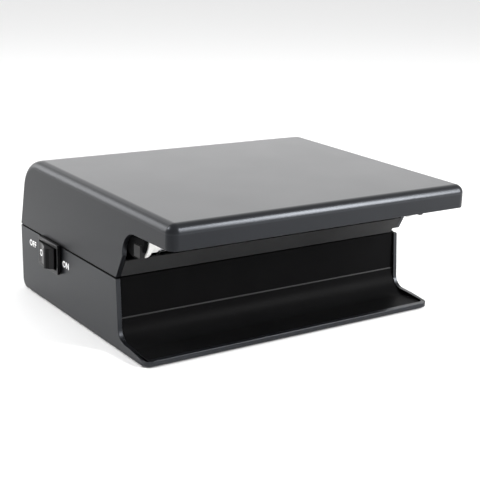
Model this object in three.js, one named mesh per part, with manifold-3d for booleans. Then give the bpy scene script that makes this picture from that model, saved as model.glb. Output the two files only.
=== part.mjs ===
// Countertop ultraviolet banknote checker: a C-shaped two-part casing with an open tray,
// a lid that reaches over it, a 4 W T5 lamp under the lid and a rocker switch in the left side.
//
// Millimetres, +Z up. Pieces are laid out in the casing's own measures: x from its middle,
// y back from the tray's front edge, z up from its underside. The group that holds them is
// placed so that the origin is at the bottom centre of the whole object, under its rubber feet.

import * as THREE from 'three';
import { mergeVertices } from 'three/addons/utils/BufferGeometryUtils.js';
import Module from 'manifold-3d';

const wasm = await Module();
wasm.setup();

const { degToRad } = THREE.MathUtils;

// ---------------------------------------------------------------- driving dimensions

const HALF_WIDTH = 80;
const BASE_DEPTH = 128.8; // tray edge to back wall, at the seam
const LID_OVERHANG = 18.5; // the lid's front lip stands this far in front of the tray
const WALL = 2.2;
const FLOOR = 1.9;
const CLEAR = 0.3; // gap between touching pieces
const INNER_X = HALF_WIDTH - WALL;
const OVERCUT = 1; // how far a cut runs past the face that it opens

const SEAM_Z = 31.8;
const UPPER_Z = SEAM_Z + CLEAR; // where the upper half starts
const LID_EDGE_Z = 54.7; // underside of the lid's rim
const LID_FRONT_Z = 65.4; // top surface at the front lip
const LID_SLOPE = 0.0145; // the top rises towards the back
const BACK_LEAN = Math.tan(degToRad(13)); // the upper back wall leans forward

const BAY_WALL_Y = 26.4; // front edge of the side walls, at the seam
const RIM_FOOT_Y = 24.8; // and where that edge starts to sweep out into the tray's rim
const RIM_FOOT_Z = 13.1;
const RIM_BEND_RADIUS = 6;
const RIM_BACK = [24.3, 4.5]; // [y, z] of the rim's top line, before and behind its step
const RIM_STEP = [13.2, 3.6];
const RIM_FRONT_Z = 2.3;
const RIM_ROUND = 0.9; // the front edge is rounded over
const BASE_ROUND = 0.5; // and under
const BASE_BACK_ROUND = 4.3; // the lower back edge
const BASE_BACK_TUCK = 1.2; // the lower back wall leans in towards it by this much
const TRAY_SWEEP = 11.2; // radius of the tray's floor where it sweeps up into the bay's wall
const TRAY_BACK_Y = 25.9; // the bay's wall: at the floor, the rim's foot and the seam
const TRAY_BACK_FOOT_Y = 26.2;
const TRAY_LEDGE = 0.5; // a fine sloping ledge along that wall, level with the rim's foot
const TRAY_BACK_SEAM_Y = 27.4;
const BOX_FRONT_Y = 29.6; // the box behind the bay, inside
const NOTCH_Y = 20.7; // where the upper side wall's edge turns up to the lid
const NOTCH_Z = 43;
const NOTCH_RADIUS = 10.4;
const LAMP_WALL_TOP_Z = 40.2; // top of the slanted wall behind the lamp's opening
const LAMP_WALL = 2.3; // its thickness, measured along y
const RELIEF_X = 75.7; // a small relief at the foot of the right side wall, at the bay
const RELIEF_DEPTH = 7;
const RELIEF_HEIGHT = 2.2;
const RELIEF_RADIUS = 2;

const FRONT_RADIUS = 4.3; // upright corners at the front
const BACK_RADIUS = 2; // and at the back
const LID_RADIUS = 4.3; // the lid's long top edges
const BACK_TOP_RADIUS = 18;

const LAMP_Y = 15;
const LAMP_Z = 52.6;
const LAMP_RADIUS = 7.75;
const GLASS = 0.8; // thickness of its wall
const LAMP_FACE_X = 68; // outer face of each end cap: 136 mm between them
const CAP_LENGTH = 6.5;
const CAP_CHAMFER = 0.6;
const PIN_RADIUS = 1.15;
const PIN_OFFSET = 2.5; // the two pins of a cap are 5 mm apart
const PIN_END_X = 74;

const REFLECTOR_HALF_LENGTH = 67;
const HOLDER_X = 68.4; // inner face of each lamp holder
const HOLDER_FLANGE_X = 73.2;
const HOLDER_END_X = 75.4;
const HOLDER_FLANGE_RADIUS = 9.4;
const HOLDER_TOP_Z = 62;
const BRACKET_RADIUS = 9;
const ROTOR_RADIUS = 5.8;
const ROTOR_END_X = PIN_END_X + 0.4;
const BRACKET_BOSS_Y = -4.7; // from the lamp's axis
const BRACKET_BOSS_Z = 45.1; // its underside
const BRACKET_BOSS_HALF = 2.6;
const BOSS_STEP = 1.2;

const SWITCH_Y = 91.5;
const SWITCH_Z = 25.1;
const BEZEL_HALF_LENGTH = 10.75;
const BEZEL_HALF_HEIGHT = 7.1;
const BEZEL_PROUD = 2;
const SWITCH_BODY_HALF_LENGTH = 9.95;
const SWITCH_BODY_HALF_HEIGHT = 6.2;
const SWITCH_BODY_DEPTH = 14;
const SWITCH_BODY_FLOOR = 3; // behind the pocket
const BEZEL_CORNER = 0.8;
const POCKET_HALF_LENGTH = 9.5;
const POCKET_HALF_HEIGHT = 5.3;
const PIVOT_X = -HALF_WIDTH + 2; // the rocker's pivot, 4 mm behind the bezel's face
const ROCKER_HALF_THROW = degToRad(14);
const ROCKER_RADIUS = 9.3; // the rocker's ends are arcs about its pivot
const ROCKER_TIP = 6.9; // pivot to the tips' level, at mid-throw
const ROCKER_VALLEY = 5.94; // pivot to the middle of its face
const ROCKER_HALF_HEIGHT = 5;
const ROCKER_BACK = 0.5; // its flat back, out from the pivot, and half that back's length
const ROCKER_BACK_HALF = 6;
const ROCKER_SKIRT = [2.4, 3.9, 5.4, ROCKER_TIP]; // heights up its rounded ends
const ROCKER_HUB_RADIUS = 2;
const TRUNNION_RADIUS = 1.1;
const TRUNNION_LENGTH = 0.9;
const TRUNNION_CLEAR = 0.2;

const INLET_X = 46;
const INLET_Z = 15.5;
const INLET_PIN_OFFSET = 4.3;
const INLET_PIN_RADIUS = 1.2;
const INLET_PIN_LENGTH = 11;
const INLET_FACE_Y = BASE_DEPTH + 1; // outer face of its flange
const INLET_DEPTH = 18;
const INLET_FLOOR = 3; // behind the socket
const INLET_FLANGE = { halfLength: 11, halfHeight: 7.6, thickness: 0.8 };
const INLET_BODY = { halfLength: 9, halfHeight: 5.8 };
const INLET_SOCKET = { halfLength: 7.6, halfHeight: 4.3 };

const BOSS_X = 66; // casing screws
const BOSS_FRONT_Y = 38;
const BOSS_BACK_Y = 107.5;
const BOSS_RADIUS = 4.6;
const HEAD_SEAT_Z = 20; // each screw's head sits deep in its boss
const HEAD_BORE = 3.3;
const SCREW_BORE = 1.7;
const POST_RADIUS = 4;
const POST_BOTTOM_Z = SEAM_Z - 1.4;
const POST_BORE_DEPTH = 16;

const FOOT_X = 69;
const FOOT_FRONT_Y = 12;
const FOOT_BACK_Y = 119.5;
const FOOT_RADIUS = 5.5;
const FOOT_RECESS = 0.6;
const FOOT_DROP = 0.8; // the feet stand this far below the casing
const FOOT_CHAMFER = 0.3;

const BOARD_X = 10;
const BOARD_Y = 80;
const BOARD_Z = 10;
const BOARD_HALF_LENGTH = 42;
const BOARD_HALF_DEPTH = 24;
const BOARD_TOP_Z = BOARD_Z + 1.6;
const ON_BOARD_Z = BOARD_TOP_Z + CLEAR;
const BOARD_SCREW_OFFSET_X = 38; // its two screws are in opposite corners
const BOARD_SCREW_OFFSET_Y = 20;
const STANDOFF_RADIUS = 3.2;
const STANDOFF_BORE = 1.4;
const BOARD_SCREW_BORE = 1.6;

const WIRE_RADIUS = 0.8;
const WIRE_SIDES = 8;

const SMOOTH = 32; // sides of a turned piece: the lamp, then ordinary ones, then small ones
const ROUND = 24;
const FEW = 16;
const ARC_STEP = degToRad(15); // the longest step along a rounded corner
const CORNER_ANGLES = [0, 18, 36, 54, 72, 90]; // steps round the casing's upright corners

// The raised rocker reaches furthest to the left, the lid's lip furthest to the front and the
// inlet furthest to the back. With the right side wall they set the origin.
const ROCKER_REACH = rockerReach();
const ORIGIN_X = (ROCKER_REACH - HALF_WIDTH) / 2;
const ORIGIN_Y = (LID_OVERHANG - INLET_FACE_Y) / 2;

const SIDES = [['left', -1], ['right', 1]];
const ROWS = [['front', 0], ['back', 1]];

// ---------------------------------------------------------------- materials

function finish(color, roughness, metalness = 0) {
  return new THREE.MeshStandardMaterial({ color, roughness, metalness });
}

const casingBlack = finish(0x1c1d20, 0.45);
const switchBlack = finish(0x141416, 0.35);
const holderBlack = finish(0x101012, 0.5);
const holderWhite = finish(0xf2f2ee, 0.4);
const lampWhite = finish(0xf4f5f7, 0.25);
const brightMetal = finish(0xc9ccd0, 0.3, 1);
const brass = finish(0xc8a24a, 0.35, 1);
const reflectorWhite = finish(0xeef0f2, 0.3);
const boardGreen = finish(0x1f5a35, 0.5);
const ferrite = finish(0x2a2a2c, 0.7);
const copper = finish(0xb4692f, 0.35, 1);
const sleeveBlue = finish(0x26407a, 0.4);
const filmRed = finish(0x8c2b22, 0.4);
const resinBlack = finish(0x17171a, 0.5);
const fuseGlass = finish(0xd8e2e4, 0.1);
const rubber = finish(0x0d0d0d, 0.9);
const wireBrown = finish(0x5a3a22, 0.6);
const wireBlue = finish(0x2c4f9a, 0.6);
const wireWhite = finish(0xe4e4df, 0.6);

// ---------------------------------------------------------------- outlines

// A closed outline from its corners [u, v, radius]: a corner with a radius becomes an arc.
function outline(corners) {
  return corners.flatMap(([u, v, radius], i) => {
    const corner = new THREE.Vector2(u, v);
    if (radius === undefined) {
      return [corner];
    }
    const before = corners.at(i - 1);
    const after = corners[(i + 1) % corners.length];
    const back = new THREE.Vector2(before[0] - u, before[1] - v).normalize();
    const on = new THREE.Vector2(after[0] - u, after[1] - v).normalize();
    return cornerArc(corner, back, on, radius);
  });
}

// The arc that rounds a corner, whose two sides leave it along the unit vectors back and on.
function cornerArc(corner, back, on, radius) {
  const halfAngle = Math.acos(THREE.MathUtils.clamp(back.dot(on), -1, 1)) / 2;
  const turn = Math.PI - 2 * halfAngle;
  const inward = back.clone().add(on).normalize();
  const centre = corner.clone().addScaledVector(inward, radius / Math.sin(halfAngle));
  const start = corner.clone().addScaledVector(back, radius / Math.tan(halfAngle));
  const way = Math.sign(back.y * on.x - back.x * on.y);
  const steps = Math.max(1, Math.ceil(turn / ARC_STEP));
  return Array.from({ length: steps + 1 }, (_, k) =>
    start.clone().rotateAround(centre, (way * turn * k) / steps));
}

function rectangle(u0, u1, v0, v1, radius) {
  return outline([[u0, v0, radius], [u1, v0, radius], [u1, v1, radius], [u0, v1, radius]]);
}

// A plate's outline in (y, z) with a flat top and a half-round bottom about the lamp's axis.
function hangingRound(radius, topZ) {
  const low = LAMP_Z - radius;
  return outline([
    [LAMP_Y - radius, topZ],
    [LAMP_Y - radius, low, radius - 0.01],
    [LAMP_Y + radius, low, radius - 0.01],
    [LAMP_Y + radius, topZ],
  ]);
}

// ---------------------------------------------------------------- solids

// Local (u, v, depth) becomes (y, z, x) along x, (z, x, y) along y and (x, y, z) along z.
const AXES = {
  x: new THREE.Matrix4().set(0, 0, 1, 0, 1, 0, 0, 0, 0, 1, 0, 0, 0, 0, 0, 1),
  y: new THREE.Matrix4().set(0, 1, 0, 0, 0, 0, 1, 0, 1, 0, 0, 0, 0, 0, 0, 1),
  z: new THREE.Matrix4(),
};

// A closed triangle mesh as a solid, without the slivers that a lathe leaves on its axis.
function solid(geometry) {
  const bare = new THREE.BufferGeometry();
  bare.setAttribute('position', geometry.getAttribute('position'));
  bare.setIndex(geometry.index);
  const merged = mergeVertices(bare, 1e-4);
  const corners = merged.index.array;
  const kept = [];
  for (let i = 0; i < corners.length; i += 3) {
    const [a, b, c] = corners.subarray(i, i + 3);
    if (a !== b && b !== c && c !== a) {
      kept.push(a, b, c);
    }
  }
  const vertProperties = merged.getAttribute('position').array;
  const triVerts = new Uint32Array(kept);
  return new wasm.Manifold(new wasm.Mesh({ numProp: 3, vertProperties, triVerts }));
}

function extrude(points, axis, from, to) {
  const shape = new THREE.Shape(points);
  const geometry = new THREE.ExtrudeGeometry(shape, { depth: to - from, bevelEnabled: false });
  return solid(geometry.translate(0, 0, from).applyMatrix4(AXES[axis]));
}

function block(x0, x1, y0, y1, z0, z1) {
  return extrude(rectangle(x0, x1, y0, y1), 'z', z0, z1);
}

// A profile of [radius, distance] points turned about an axis through a place.
function turned(profile, axis, [x, y, z], segments = ROUND) {
  const points = profile.map(([radius, distance]) => new THREE.Vector2(radius, distance));
  const geometry = new THREE.LatheGeometry(points, segments).rotateX(Math.PI / 2);
  return solid(geometry.applyMatrix4(AXES[axis]).translate(x, y, z));
}

function rod(axis, place, radius, from, to, segments = ROUND) {
  return turned([[0, from], [radius, from], [radius, to], [0, to]], axis, place, segments);
}

// How far an edge rounded by `radius` has moved in at a distance x from the casing's middle.
function roundedInset(radius, x) {
  const over = Math.max(0, x - (HALF_WIDTH - radius));
  return radius - Math.sqrt(radius ** 2 - over ** 2);
}

// A body as wide as the casing. Its side outline is asked for at stations along x, and moves
// in towards both ends by an inset that it looks up for each of its rounded edges.
function roundedPrism(sideOutline) {
  const angles = CORNER_ANGLES.map(degToRad);
  const stations = [FRONT_RADIUS, BACK_RADIUS].flatMap((radius) =>
    angles.map((angle) => HALF_WIDTH - radius * (1 - Math.sin(angle))));
  const half = [...new Set(stations)].sort((a, b) => a - b);
  const rings = [...half.toReversed().map((x) => -x), ...half];
  const loops = rings.map((x) => sideOutline((radius) => roundedInset(radius, Math.abs(x))));
  const count = loops[0].length;
  const positions = loops.flatMap((loop, k) => loop.flatMap(({ x, y }) => [rings[k], x, y]));
  const triangles = [];
  for (let k = 0; k + 1 < loops.length; k += 1) {
    for (let i = 0; i < count; i += 1) {
      const a = k * count + i;
      const b = k * count + ((i + 1) % count);
      triangles.push(a, b, b + count, a, b + count, a + count);
    }
  }
  const last = (loops.length - 1) * count;
  for (const [a, b, c] of THREE.ShapeUtils.triangulateShape(loops[0], [])) {
    triangles.push(a, c, b, last + a, last + b, last + c);
  }
  const geometry = new THREE.BufferGeometry();
  geometry.setAttribute('position', new THREE.Float32BufferAttribute(positions, 3));
  geometry.setIndex(triangles);
  return solid(geometry);
}

const casing = new THREE.Group();
casing.position.set(ORIGIN_X, ORIGIN_Y, FOOT_DROP);

function piece(name, material, body) {
  const mesh = body.getMesh();
  const geometry = new THREE.BufferGeometry();
  geometry.setAttribute('position', new THREE.BufferAttribute(mesh.vertProperties, 3));
  geometry.setIndex(new THREE.BufferAttribute(mesh.triVerts, 1));
  geometry.computeVertexNormals();
  const part = new THREE.Mesh(geometry, material);
  part.name = name;
  casing.add(part);
}

// ---------------------------------------------------------------- lower housing

// Its side: a thin tray rim in front that sweeps up into the box behind.
function lowerSide(insetOf) {
  const front = insetOf(FRONT_RADIUS);
  const back = BASE_DEPTH - insetOf(BACK_RADIUS);
  return outline([
    [front, 0, BASE_ROUND],
    [back - BASE_BACK_TUCK, 0, BASE_BACK_ROUND],
    [back, SEAM_Z],
    [BAY_WALL_Y, SEAM_Z],
    [RIM_FOOT_Y, RIM_FOOT_Z],
    [...RIM_BACK, RIM_BEND_RADIUS],
    RIM_STEP,
    [front, RIM_FRONT_Z, RIM_ROUND],
  ]);
}

// The tray's inside lies a little below its rims and sweeps up into the wall behind the bay.
const TRAY_INSIDE = outline([
  [WALL, FLOOR],
  [TRAY_BACK_Y, FLOOR, TRAY_SWEEP],
  [TRAY_BACK_FOOT_Y - TRAY_LEDGE / 2, RIM_FOOT_Z - TRAY_LEDGE / 2],
  [TRAY_BACK_FOOT_Y + TRAY_LEDGE / 2, RIM_FOOT_Z + TRAY_LEDGE / 2],
  [TRAY_BACK_SEAM_Y, SEAM_Z],
  [TRAY_BACK_SEAM_Y, SEAM_Z + OVERCUT],
  [WALL, SEAM_Z + OVERCUT],
]);

const BOX_BACK_Y = BASE_DEPTH - WALL - BASE_BACK_TUCK;

function places(x, frontY, backY) {
  return ROWS.flatMap(([row, isBack]) =>
    SIDES.map(([side, sign]) => [`${row}_${side}`, sign * x, isBack ? backY : frontY]));
}

const BOSSES = places(BOSS_X, BOSS_FRONT_Y, BOSS_BACK_Y);
const FEET = places(FOOT_X, FOOT_FRONT_Y, FOOT_BACK_Y);
const BOARD_SCREWS = SIDES.map(([side, sign]) => [
  side,
  BOARD_X + sign * BOARD_SCREW_OFFSET_X,
  BOARD_Y + sign * BOARD_SCREW_OFFSET_Y,
]);

function lowerHousing() {
  const trayPlan = rectangle(-INNER_X, INNER_X, WALL, BASE_DEPTH, FRONT_RADIUS - WALL);
  const tray = extrude(TRAY_INSIDE, 'x', -INNER_X, INNER_X)
    .intersect(extrude(trayPlan, 'z', 0, SEAM_Z + OVERCUT));
  let body = roundedPrism(lowerSide)
    .subtract(tray)
    .subtract(block(-INNER_X, INNER_X, BOX_FRONT_Y, BOX_BACK_Y, FLOOR, SEAM_Z + OVERCUT));
  for (const [, x, y] of BOSSES) {
    body = body
      .add(rod('z', [x, y, 0], BOSS_RADIUS, FLOOR / 2, POST_BOTTOM_Z - CLEAR))
      .subtract(rod('z', [x, y, 0], HEAD_BORE, -OVERCUT, HEAD_SEAT_Z))
      .subtract(rod('z', [x, y, 0], SCREW_BORE, HEAD_SEAT_Z - OVERCUT, SEAM_Z, FEW));
  }
  for (const [, x, y] of FEET) {
    body = body.subtract(rod('z', [x, y, 0], FOOT_RADIUS + CLEAR, -OVERCUT, FOOT_RECESS));
  }
  for (const [, x, y] of BOARD_SCREWS) {
    body = body
      .add(rod('z', [x, y, 0], STANDOFF_RADIUS, FLOOR / 2, BOARD_Z - CLEAR, FEW))
      .subtract(rod('z', [x, y, 0], STANDOFF_BORE, FLOOR + OVERCUT, BOARD_Z, FEW));
  }
  return body.subtract(switchOpening()).subtract(inletOpening());
}

// ---------------------------------------------------------------- upper housing

// Where the leaning back wall meets the rising top, each moved inwards.
function backTopCorner(wallInset, topInset) {
  const wallY = BASE_DEPTH - wallInset + UPPER_Z * BACK_LEAN;
  const topZ = LID_FRONT_Z + LID_SLOPE * LID_OVERHANG - topInset;
  const z = (topZ + LID_SLOPE * wallY) / (1 + LID_SLOPE * BACK_LEAN);
  return [wallY - z * BACK_LEAN, z];
}

function upperSide(insetOf) {
  const front = insetOf(FRONT_RADIUS);
  const back = insetOf(BACK_RADIUS);
  const top = insetOf(LID_RADIUS);
  return outline([
    [BASE_DEPTH - back, UPPER_Z],
    [...backTopCorner(back, top), BACK_TOP_RADIUS - top],
    [front - LID_OVERHANG, LID_FRONT_Z - top, LID_RADIUS - top],
    [front - LID_OVERHANG, LID_EDGE_Z],
    [NOTCH_Y, LID_EDGE_Z, NOTCH_RADIUS],
    [NOTCH_Y, NOTCH_Z],
    [BAY_WALL_Y, UPPER_Z],
  ]);
}

// The hollow inside it: open to the lower half behind, and to the tray under the lamp.
const UPPER_INSIDE = outline([
  [BASE_DEPTH - WALL, UPPER_Z - OVERCUT],
  [BASE_DEPTH - WALL, UPPER_Z],
  [...backTopCorner(WALL, WALL), BACK_TOP_RADIUS - WALL],
  [WALL - LID_OVERHANG, LID_FRONT_Z - WALL, LID_RADIUS - WALL],
  [WALL - LID_OVERHANG, LID_EDGE_Z - OVERCUT],
  [NOTCH_Y - NOTCH_RADIUS, LID_EDGE_Z - OVERCUT],
  [NOTCH_Y - NOTCH_RADIUS, UPPER_Z - OVERCUT],
]);

// The wall that slants up behind the lamp's opening, between the two side walls.
function lampWall() {
  const lean = (BAY_WALL_Y - NOTCH_Y) / (NOTCH_Z - UPPER_Z);
  const topY = BAY_WALL_Y - (LAMP_WALL_TOP_Z - UPPER_Z) * lean;
  const section = outline([
    [BAY_WALL_Y, UPPER_Z],
    [BAY_WALL_Y + LAMP_WALL, UPPER_Z],
    [topY + LAMP_WALL, LAMP_WALL_TOP_Z],
    [topY, LAMP_WALL_TOP_Z],
  ]);
  return extrude(section, 'x', -INNER_X - WALL / 2, INNER_X + WALL / 2);
}

// The relief in the foot of the right side wall and the slanted wall's end, over the seam.
function reliefNotch() {
  const low = UPPER_Z - OVERCUT;
  const high = UPPER_Z + RELIEF_HEIGHT;
  const section = outline([
    [NOTCH_Y, low],
    [BAY_WALL_Y + RELIEF_DEPTH, low],
    [BAY_WALL_Y + RELIEF_DEPTH, high, RELIEF_RADIUS],
    [NOTCH_Y, high],
  ]);
  return extrude(section, 'x', RELIEF_X, HALF_WIDTH + OVERCUT);
}

function upperHousing() {
  const shell = roundedPrism(upperSide);
  let body = shell.subtract(extrude(UPPER_INSIDE, 'x', -INNER_X, INNER_X)).add(lampWall());
  for (const [, x, y] of BOSSES) {
    const post = rod('z', [x, y, 0], POST_RADIUS, POST_BOTTOM_Z, LID_FRONT_Z + WALL);
    const below = block(x - POST_RADIUS, x + POST_RADIUS, y - POST_RADIUS, y + POST_RADIUS,
      POST_BOTTOM_Z - OVERCUT, UPPER_Z + OVERCUT);
    body = body
      .add(post.intersect(shell.add(below)))
      .subtract(rod('z', [x, y, 0], SCREW_BORE, POST_BOTTOM_Z - OVERCUT,
        POST_BOTTOM_Z + POST_BORE_DEPTH, FEW));
  }
  return body.subtract(reliefNotch());
}

piece('lower_housing', casingBlack, lowerHousing());
piece('upper_housing', casingBlack, upperHousing());

// ---------------------------------------------------------------- casing screws and feet

// A pan-head screw from its head's far face, along the way that it points. Its head tapers
// over the first part of its height, and its point over the last millimetre.
function screwProfile({ seat, headHeight, headRadius, shankRadius, end }) {
  const way = Math.sign(end - seat);
  const top = seat - way * headHeight;
  return [
    [0, top],
    [0.75 * headRadius, top],
    [headRadius, top + (way * headHeight) / 3],
    [headRadius, seat],
    [shankRadius, seat],
    [shankRadius, end - way],
    [0.4 * shankRadius, end],
    [0, end],
  ];
}

for (const [place, x, y] of BOSSES) {
  const profile = screwProfile({
    seat: HEAD_SEAT_Z - CLEAR, headHeight: 2, headRadius: 2.9, shankRadius: 1.35, end: 43,
  });
  piece(`housing_screw_${place}`, brightMetal, turned(profile, 'z', [x, y, 0], FEW));
}

for (const [place, x, y] of FEET) {
  const top = FOOT_RECESS - CLEAR;
  const profile = [
    [0, -FOOT_DROP],
    [FOOT_RADIUS - FOOT_CHAMFER, -FOOT_DROP],
    [FOOT_RADIUS, FOOT_CHAMFER - FOOT_DROP],
    [FOOT_RADIUS, top],
    [0, top],
  ];
  piece(`foot_${place}`, rubber, turned(profile, 'z', [x, y, 0]));
}

// ---------------------------------------------------------------- lamp and its holders

const LAMP_AXIS = [0, LAMP_Y, LAMP_Z];

// A body made for the right-hand end, or its mirror image for the left.
function onSide(sign, body) {
  return sign > 0 ? body : body.mirror([1, 0, 0]);
}

// A plate beside each holder, with a square boss where it is fixed to the side wall.
function lampBracket() {
  const outer = INNER_X - CLEAR;
  const boss = block(outer - BOSS_STEP, outer + BOSS_STEP,
    LAMP_Y + BRACKET_BOSS_Y - BRACKET_BOSS_HALF, LAMP_Y + BRACKET_BOSS_Y + BRACKET_BOSS_HALF,
    BRACKET_BOSS_Z, BRACKET_BOSS_Z + 2 * BRACKET_BOSS_HALF);
  return extrude(hangingRound(BRACKET_RADIUS, HOLDER_TOP_Z), 'x', HOLDER_END_X + CLEAR, outer)
    .add(boss);
}

// A round body for the lamp's end with a wider flange behind it, and a bore for the rotor.
function lampHolder() {
  const bore = rod('x', LAMP_AXIS, ROTOR_RADIUS + CLEAR, HOLDER_X - OVERCUT, ROTOR_END_X + CLEAR);
  const flange = extrude(hangingRound(HOLDER_FLANGE_RADIUS, HOLDER_TOP_Z), 'x',
    HOLDER_FLANGE_X, HOLDER_END_X);
  return extrude(hangingRound(LAMP_RADIUS, HOLDER_TOP_Z), 'x', HOLDER_X, HOLDER_END_X)
    .add(flange)
    .subtract(bore);
}

function pinAxes() {
  return [['a', LAMP_Y - PIN_OFFSET], ['b', LAMP_Y + PIN_OFFSET]];
}

function lampRotor() {
  let body = rod('x', LAMP_AXIS, ROTOR_RADIUS, HOLDER_X, ROTOR_END_X);
  for (const [, y] of pinAxes()) {
    body = body.subtract(rod('x', [0, y, LAMP_Z], PIN_RADIUS + CLEAR,
      HOLDER_X - OVERCUT, ROTOR_END_X + OVERCUT, FEW));
  }
  return body;
}

function lampTube() {
  const end = LAMP_FACE_X - CAP_LENGTH - CLEAR;
  const inner = LAMP_RADIUS - GLASS;
  const profile = [
    [inner, -end], [LAMP_RADIUS, -end], [LAMP_RADIUS, end], [inner, end], [inner, -end],
  ];
  return turned(profile, 'x', LAMP_AXIS, SMOOTH);
}

function lampCap() {
  const start = LAMP_FACE_X - CAP_LENGTH;
  const profile = [
    [0, start],
    [LAMP_RADIUS, start],
    [LAMP_RADIUS, LAMP_FACE_X - CAP_CHAMFER],
    [LAMP_RADIUS - CAP_CHAMFER, LAMP_FACE_X],
    [0, LAMP_FACE_X],
  ];
  return turned(profile, 'x', LAMP_AXIS, SMOOTH);
}

piece('lamp_tube', lampWhite, lampTube());
for (const [side, sign] of SIDES) {
  piece(`lamp_bracket_${side}`, holderBlack, onSide(sign, lampBracket()));
  piece(`lamp_holder_${side}`, holderWhite, onSide(sign, lampHolder()));
  piece(`lamp_rotor_${side}`, holderWhite, onSide(sign, lampRotor()));
  piece(`lamp_cap_${side}`, brightMetal, onSide(sign, lampCap()));
  for (const [letter, y] of pinAxes()) {
    const pin = rod('x', [0, y, LAMP_Z], PIN_RADIUS, LAMP_FACE_X + CLEAR, PIN_END_X, FEW);
    piece(`lamp_pin_${side}_${letter}`, brass, onSide(sign, pin));
  }
}

// A folded sheet over the tube: a short lip in front, a flat top and a leg behind the lamp.
function reflector() {
  const inner = [[-6.3, 52.2], [-2.5, 60.4], [2.1, 61.8], [21.7, 61.8], [25.7, 57.7], [25.7, 45]];
  const outer = [[26.5, 45], [26.5, 58], [22, 62.6], [2, 62.6], [-3, 61], [-7, 52.5]];
  return extrude(outline([...inner, ...outer]), 'x', -REFLECTOR_HALF_LENGTH, REFLECTOR_HALF_LENGTH);
}

piece('reflector', reflectorWhite, reflector());

// ---------------------------------------------------------------- rocker switch

function switchOpening() {
  const halfLength = SWITCH_BODY_HALF_LENGTH + CLEAR;
  return block(-HALF_WIDTH - OVERCUT, -INNER_X + OVERCUT,
    SWITCH_Y - halfLength, SWITCH_Y + halfLength,
    SWITCH_Z - SWITCH_BODY_HALF_HEIGHT - CLEAR, SEAM_Z + OVERCUT);
}

function aroundSwitch(halfLength, halfHeight, radius) {
  return rectangle(SWITCH_Y - halfLength, SWITCH_Y + halfLength,
    SWITCH_Z - halfHeight, SWITCH_Z + halfHeight, radius);
}

// A bezel outside the wall, a body through it, and a pocket with two holes for the trunnions.
function switchFrame() {
  const bezelX = -HALF_WIDTH - BEZEL_PROUD;
  const backX = -HALF_WIDTH + SWITCH_BODY_DEPTH;
  const bezel = aroundSwitch(BEZEL_HALF_LENGTH, BEZEL_HALF_HEIGHT, BEZEL_CORNER);
  const body = aroundSwitch(SWITCH_BODY_HALF_LENGTH, SWITCH_BODY_HALF_HEIGHT);
  const pocket = aroundSwitch(POCKET_HALF_LENGTH, POCKET_HALF_HEIGHT);
  const holes = rod('z', [PIVOT_X, SWITCH_Y, 0], TRUNNION_RADIUS + TRUNNION_CLEAR,
    SWITCH_Z - SWITCH_BODY_HALF_HEIGHT - OVERCUT,
    SWITCH_Z + SWITCH_BODY_HALF_HEIGHT + OVERCUT, FEW);
  return extrude(bezel, 'x', bezelX, -HALF_WIDTH - CLEAR)
    .add(extrude(body, 'x', bezelX + BEZEL_PROUD / 2, backX))
    .subtract(extrude(pocket, 'x', bezelX - OVERCUT, backX - SWITCH_BODY_FLOOR))
    .subtract(holes);
}

// Half the rocker's length where its ends are `height` above the pivot.
function rockerHalfLength(height) {
  return Math.sqrt(ROCKER_RADIUS ** 2 - height ** 2);
}

// The rocker seen from above, as (along its length, out from the pivot), at mid-throw.
function rockerSection() {
  const back = [[-ROCKER_BACK_HALF, ROCKER_BACK], [ROCKER_BACK_HALF, ROCKER_BACK]];
  const end = ROCKER_SKIRT.map((height) => [rockerHalfLength(height), height]);
  const other = end.toReversed().map(([along, height]) => [-along, height]);
  return outline([...back, ...end, [0, ROCKER_VALLEY], ...other]);
}

// How far the raised tip stands out from the casing's middle, with the other end pressed.
function rockerReach() {
  const tip = rockerHalfLength(ROCKER_TIP);
  const out = ROCKER_TIP * Math.cos(ROCKER_HALF_THROW) + tip * Math.sin(ROCKER_HALF_THROW);
  return out - PIVOT_X;
}

function rocker() {
  const low = SWITCH_Z - ROCKER_HALF_HEIGHT;
  const high = SWITCH_Z + ROCKER_HALF_HEIGHT;
  const face = extrude(rockerSection(), 'z', low, high);
  const turnedOut = face.rotate([0, 0, 90 - THREE.MathUtils.radToDeg(ROCKER_HALF_THROW)]);
  const trunnion = rod('z', [0, 0, 0], TRUNNION_RADIUS,
    low - TRUNNION_LENGTH, high + TRUNNION_LENGTH, FEW);
  const hub = rod('z', [0, 0, 0], ROCKER_HUB_RADIUS, low, high, FEW);
  return turnedOut.add(trunnion).add(hub).translate([PIVOT_X, SWITCH_Y, 0]);
}

piece('switch_frame', switchBlack, switchFrame());
piece('switch_rocker', switchBlack, rocker());

const TERMINAL_OFFSET = 5;
const TERMINAL_X = -HALF_WIDTH + SWITCH_BODY_DEPTH + CLEAR;
const TERMINAL_LENGTH = 8;
const TERMINAL_HALF_WIDTH = 2.4;
const TERMINAL_HALF_THICKNESS = 0.4;

for (const [row, isBack] of ROWS) {
  const y = SWITCH_Y + (isBack ? TERMINAL_OFFSET : -TERMINAL_OFFSET);
  piece(`switch_terminal_${row}`, brass, block(TERMINAL_X, TERMINAL_X + TERMINAL_LENGTH,
    y - TERMINAL_HALF_THICKNESS, y + TERMINAL_HALF_THICKNESS,
    SWITCH_Z - TERMINAL_HALF_WIDTH, SWITCH_Z + TERMINAL_HALF_WIDTH));
}

// ---------------------------------------------------------------- mains inlet

// An oval outline about the inlet's axis, in (z, x).
function inletSection({ halfLength, halfHeight }) {
  const radius = halfHeight - 0.01;
  return rectangle(INLET_Z - halfHeight, INLET_Z + halfHeight,
    INLET_X - halfLength, INLET_X + halfLength, radius);
}

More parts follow.
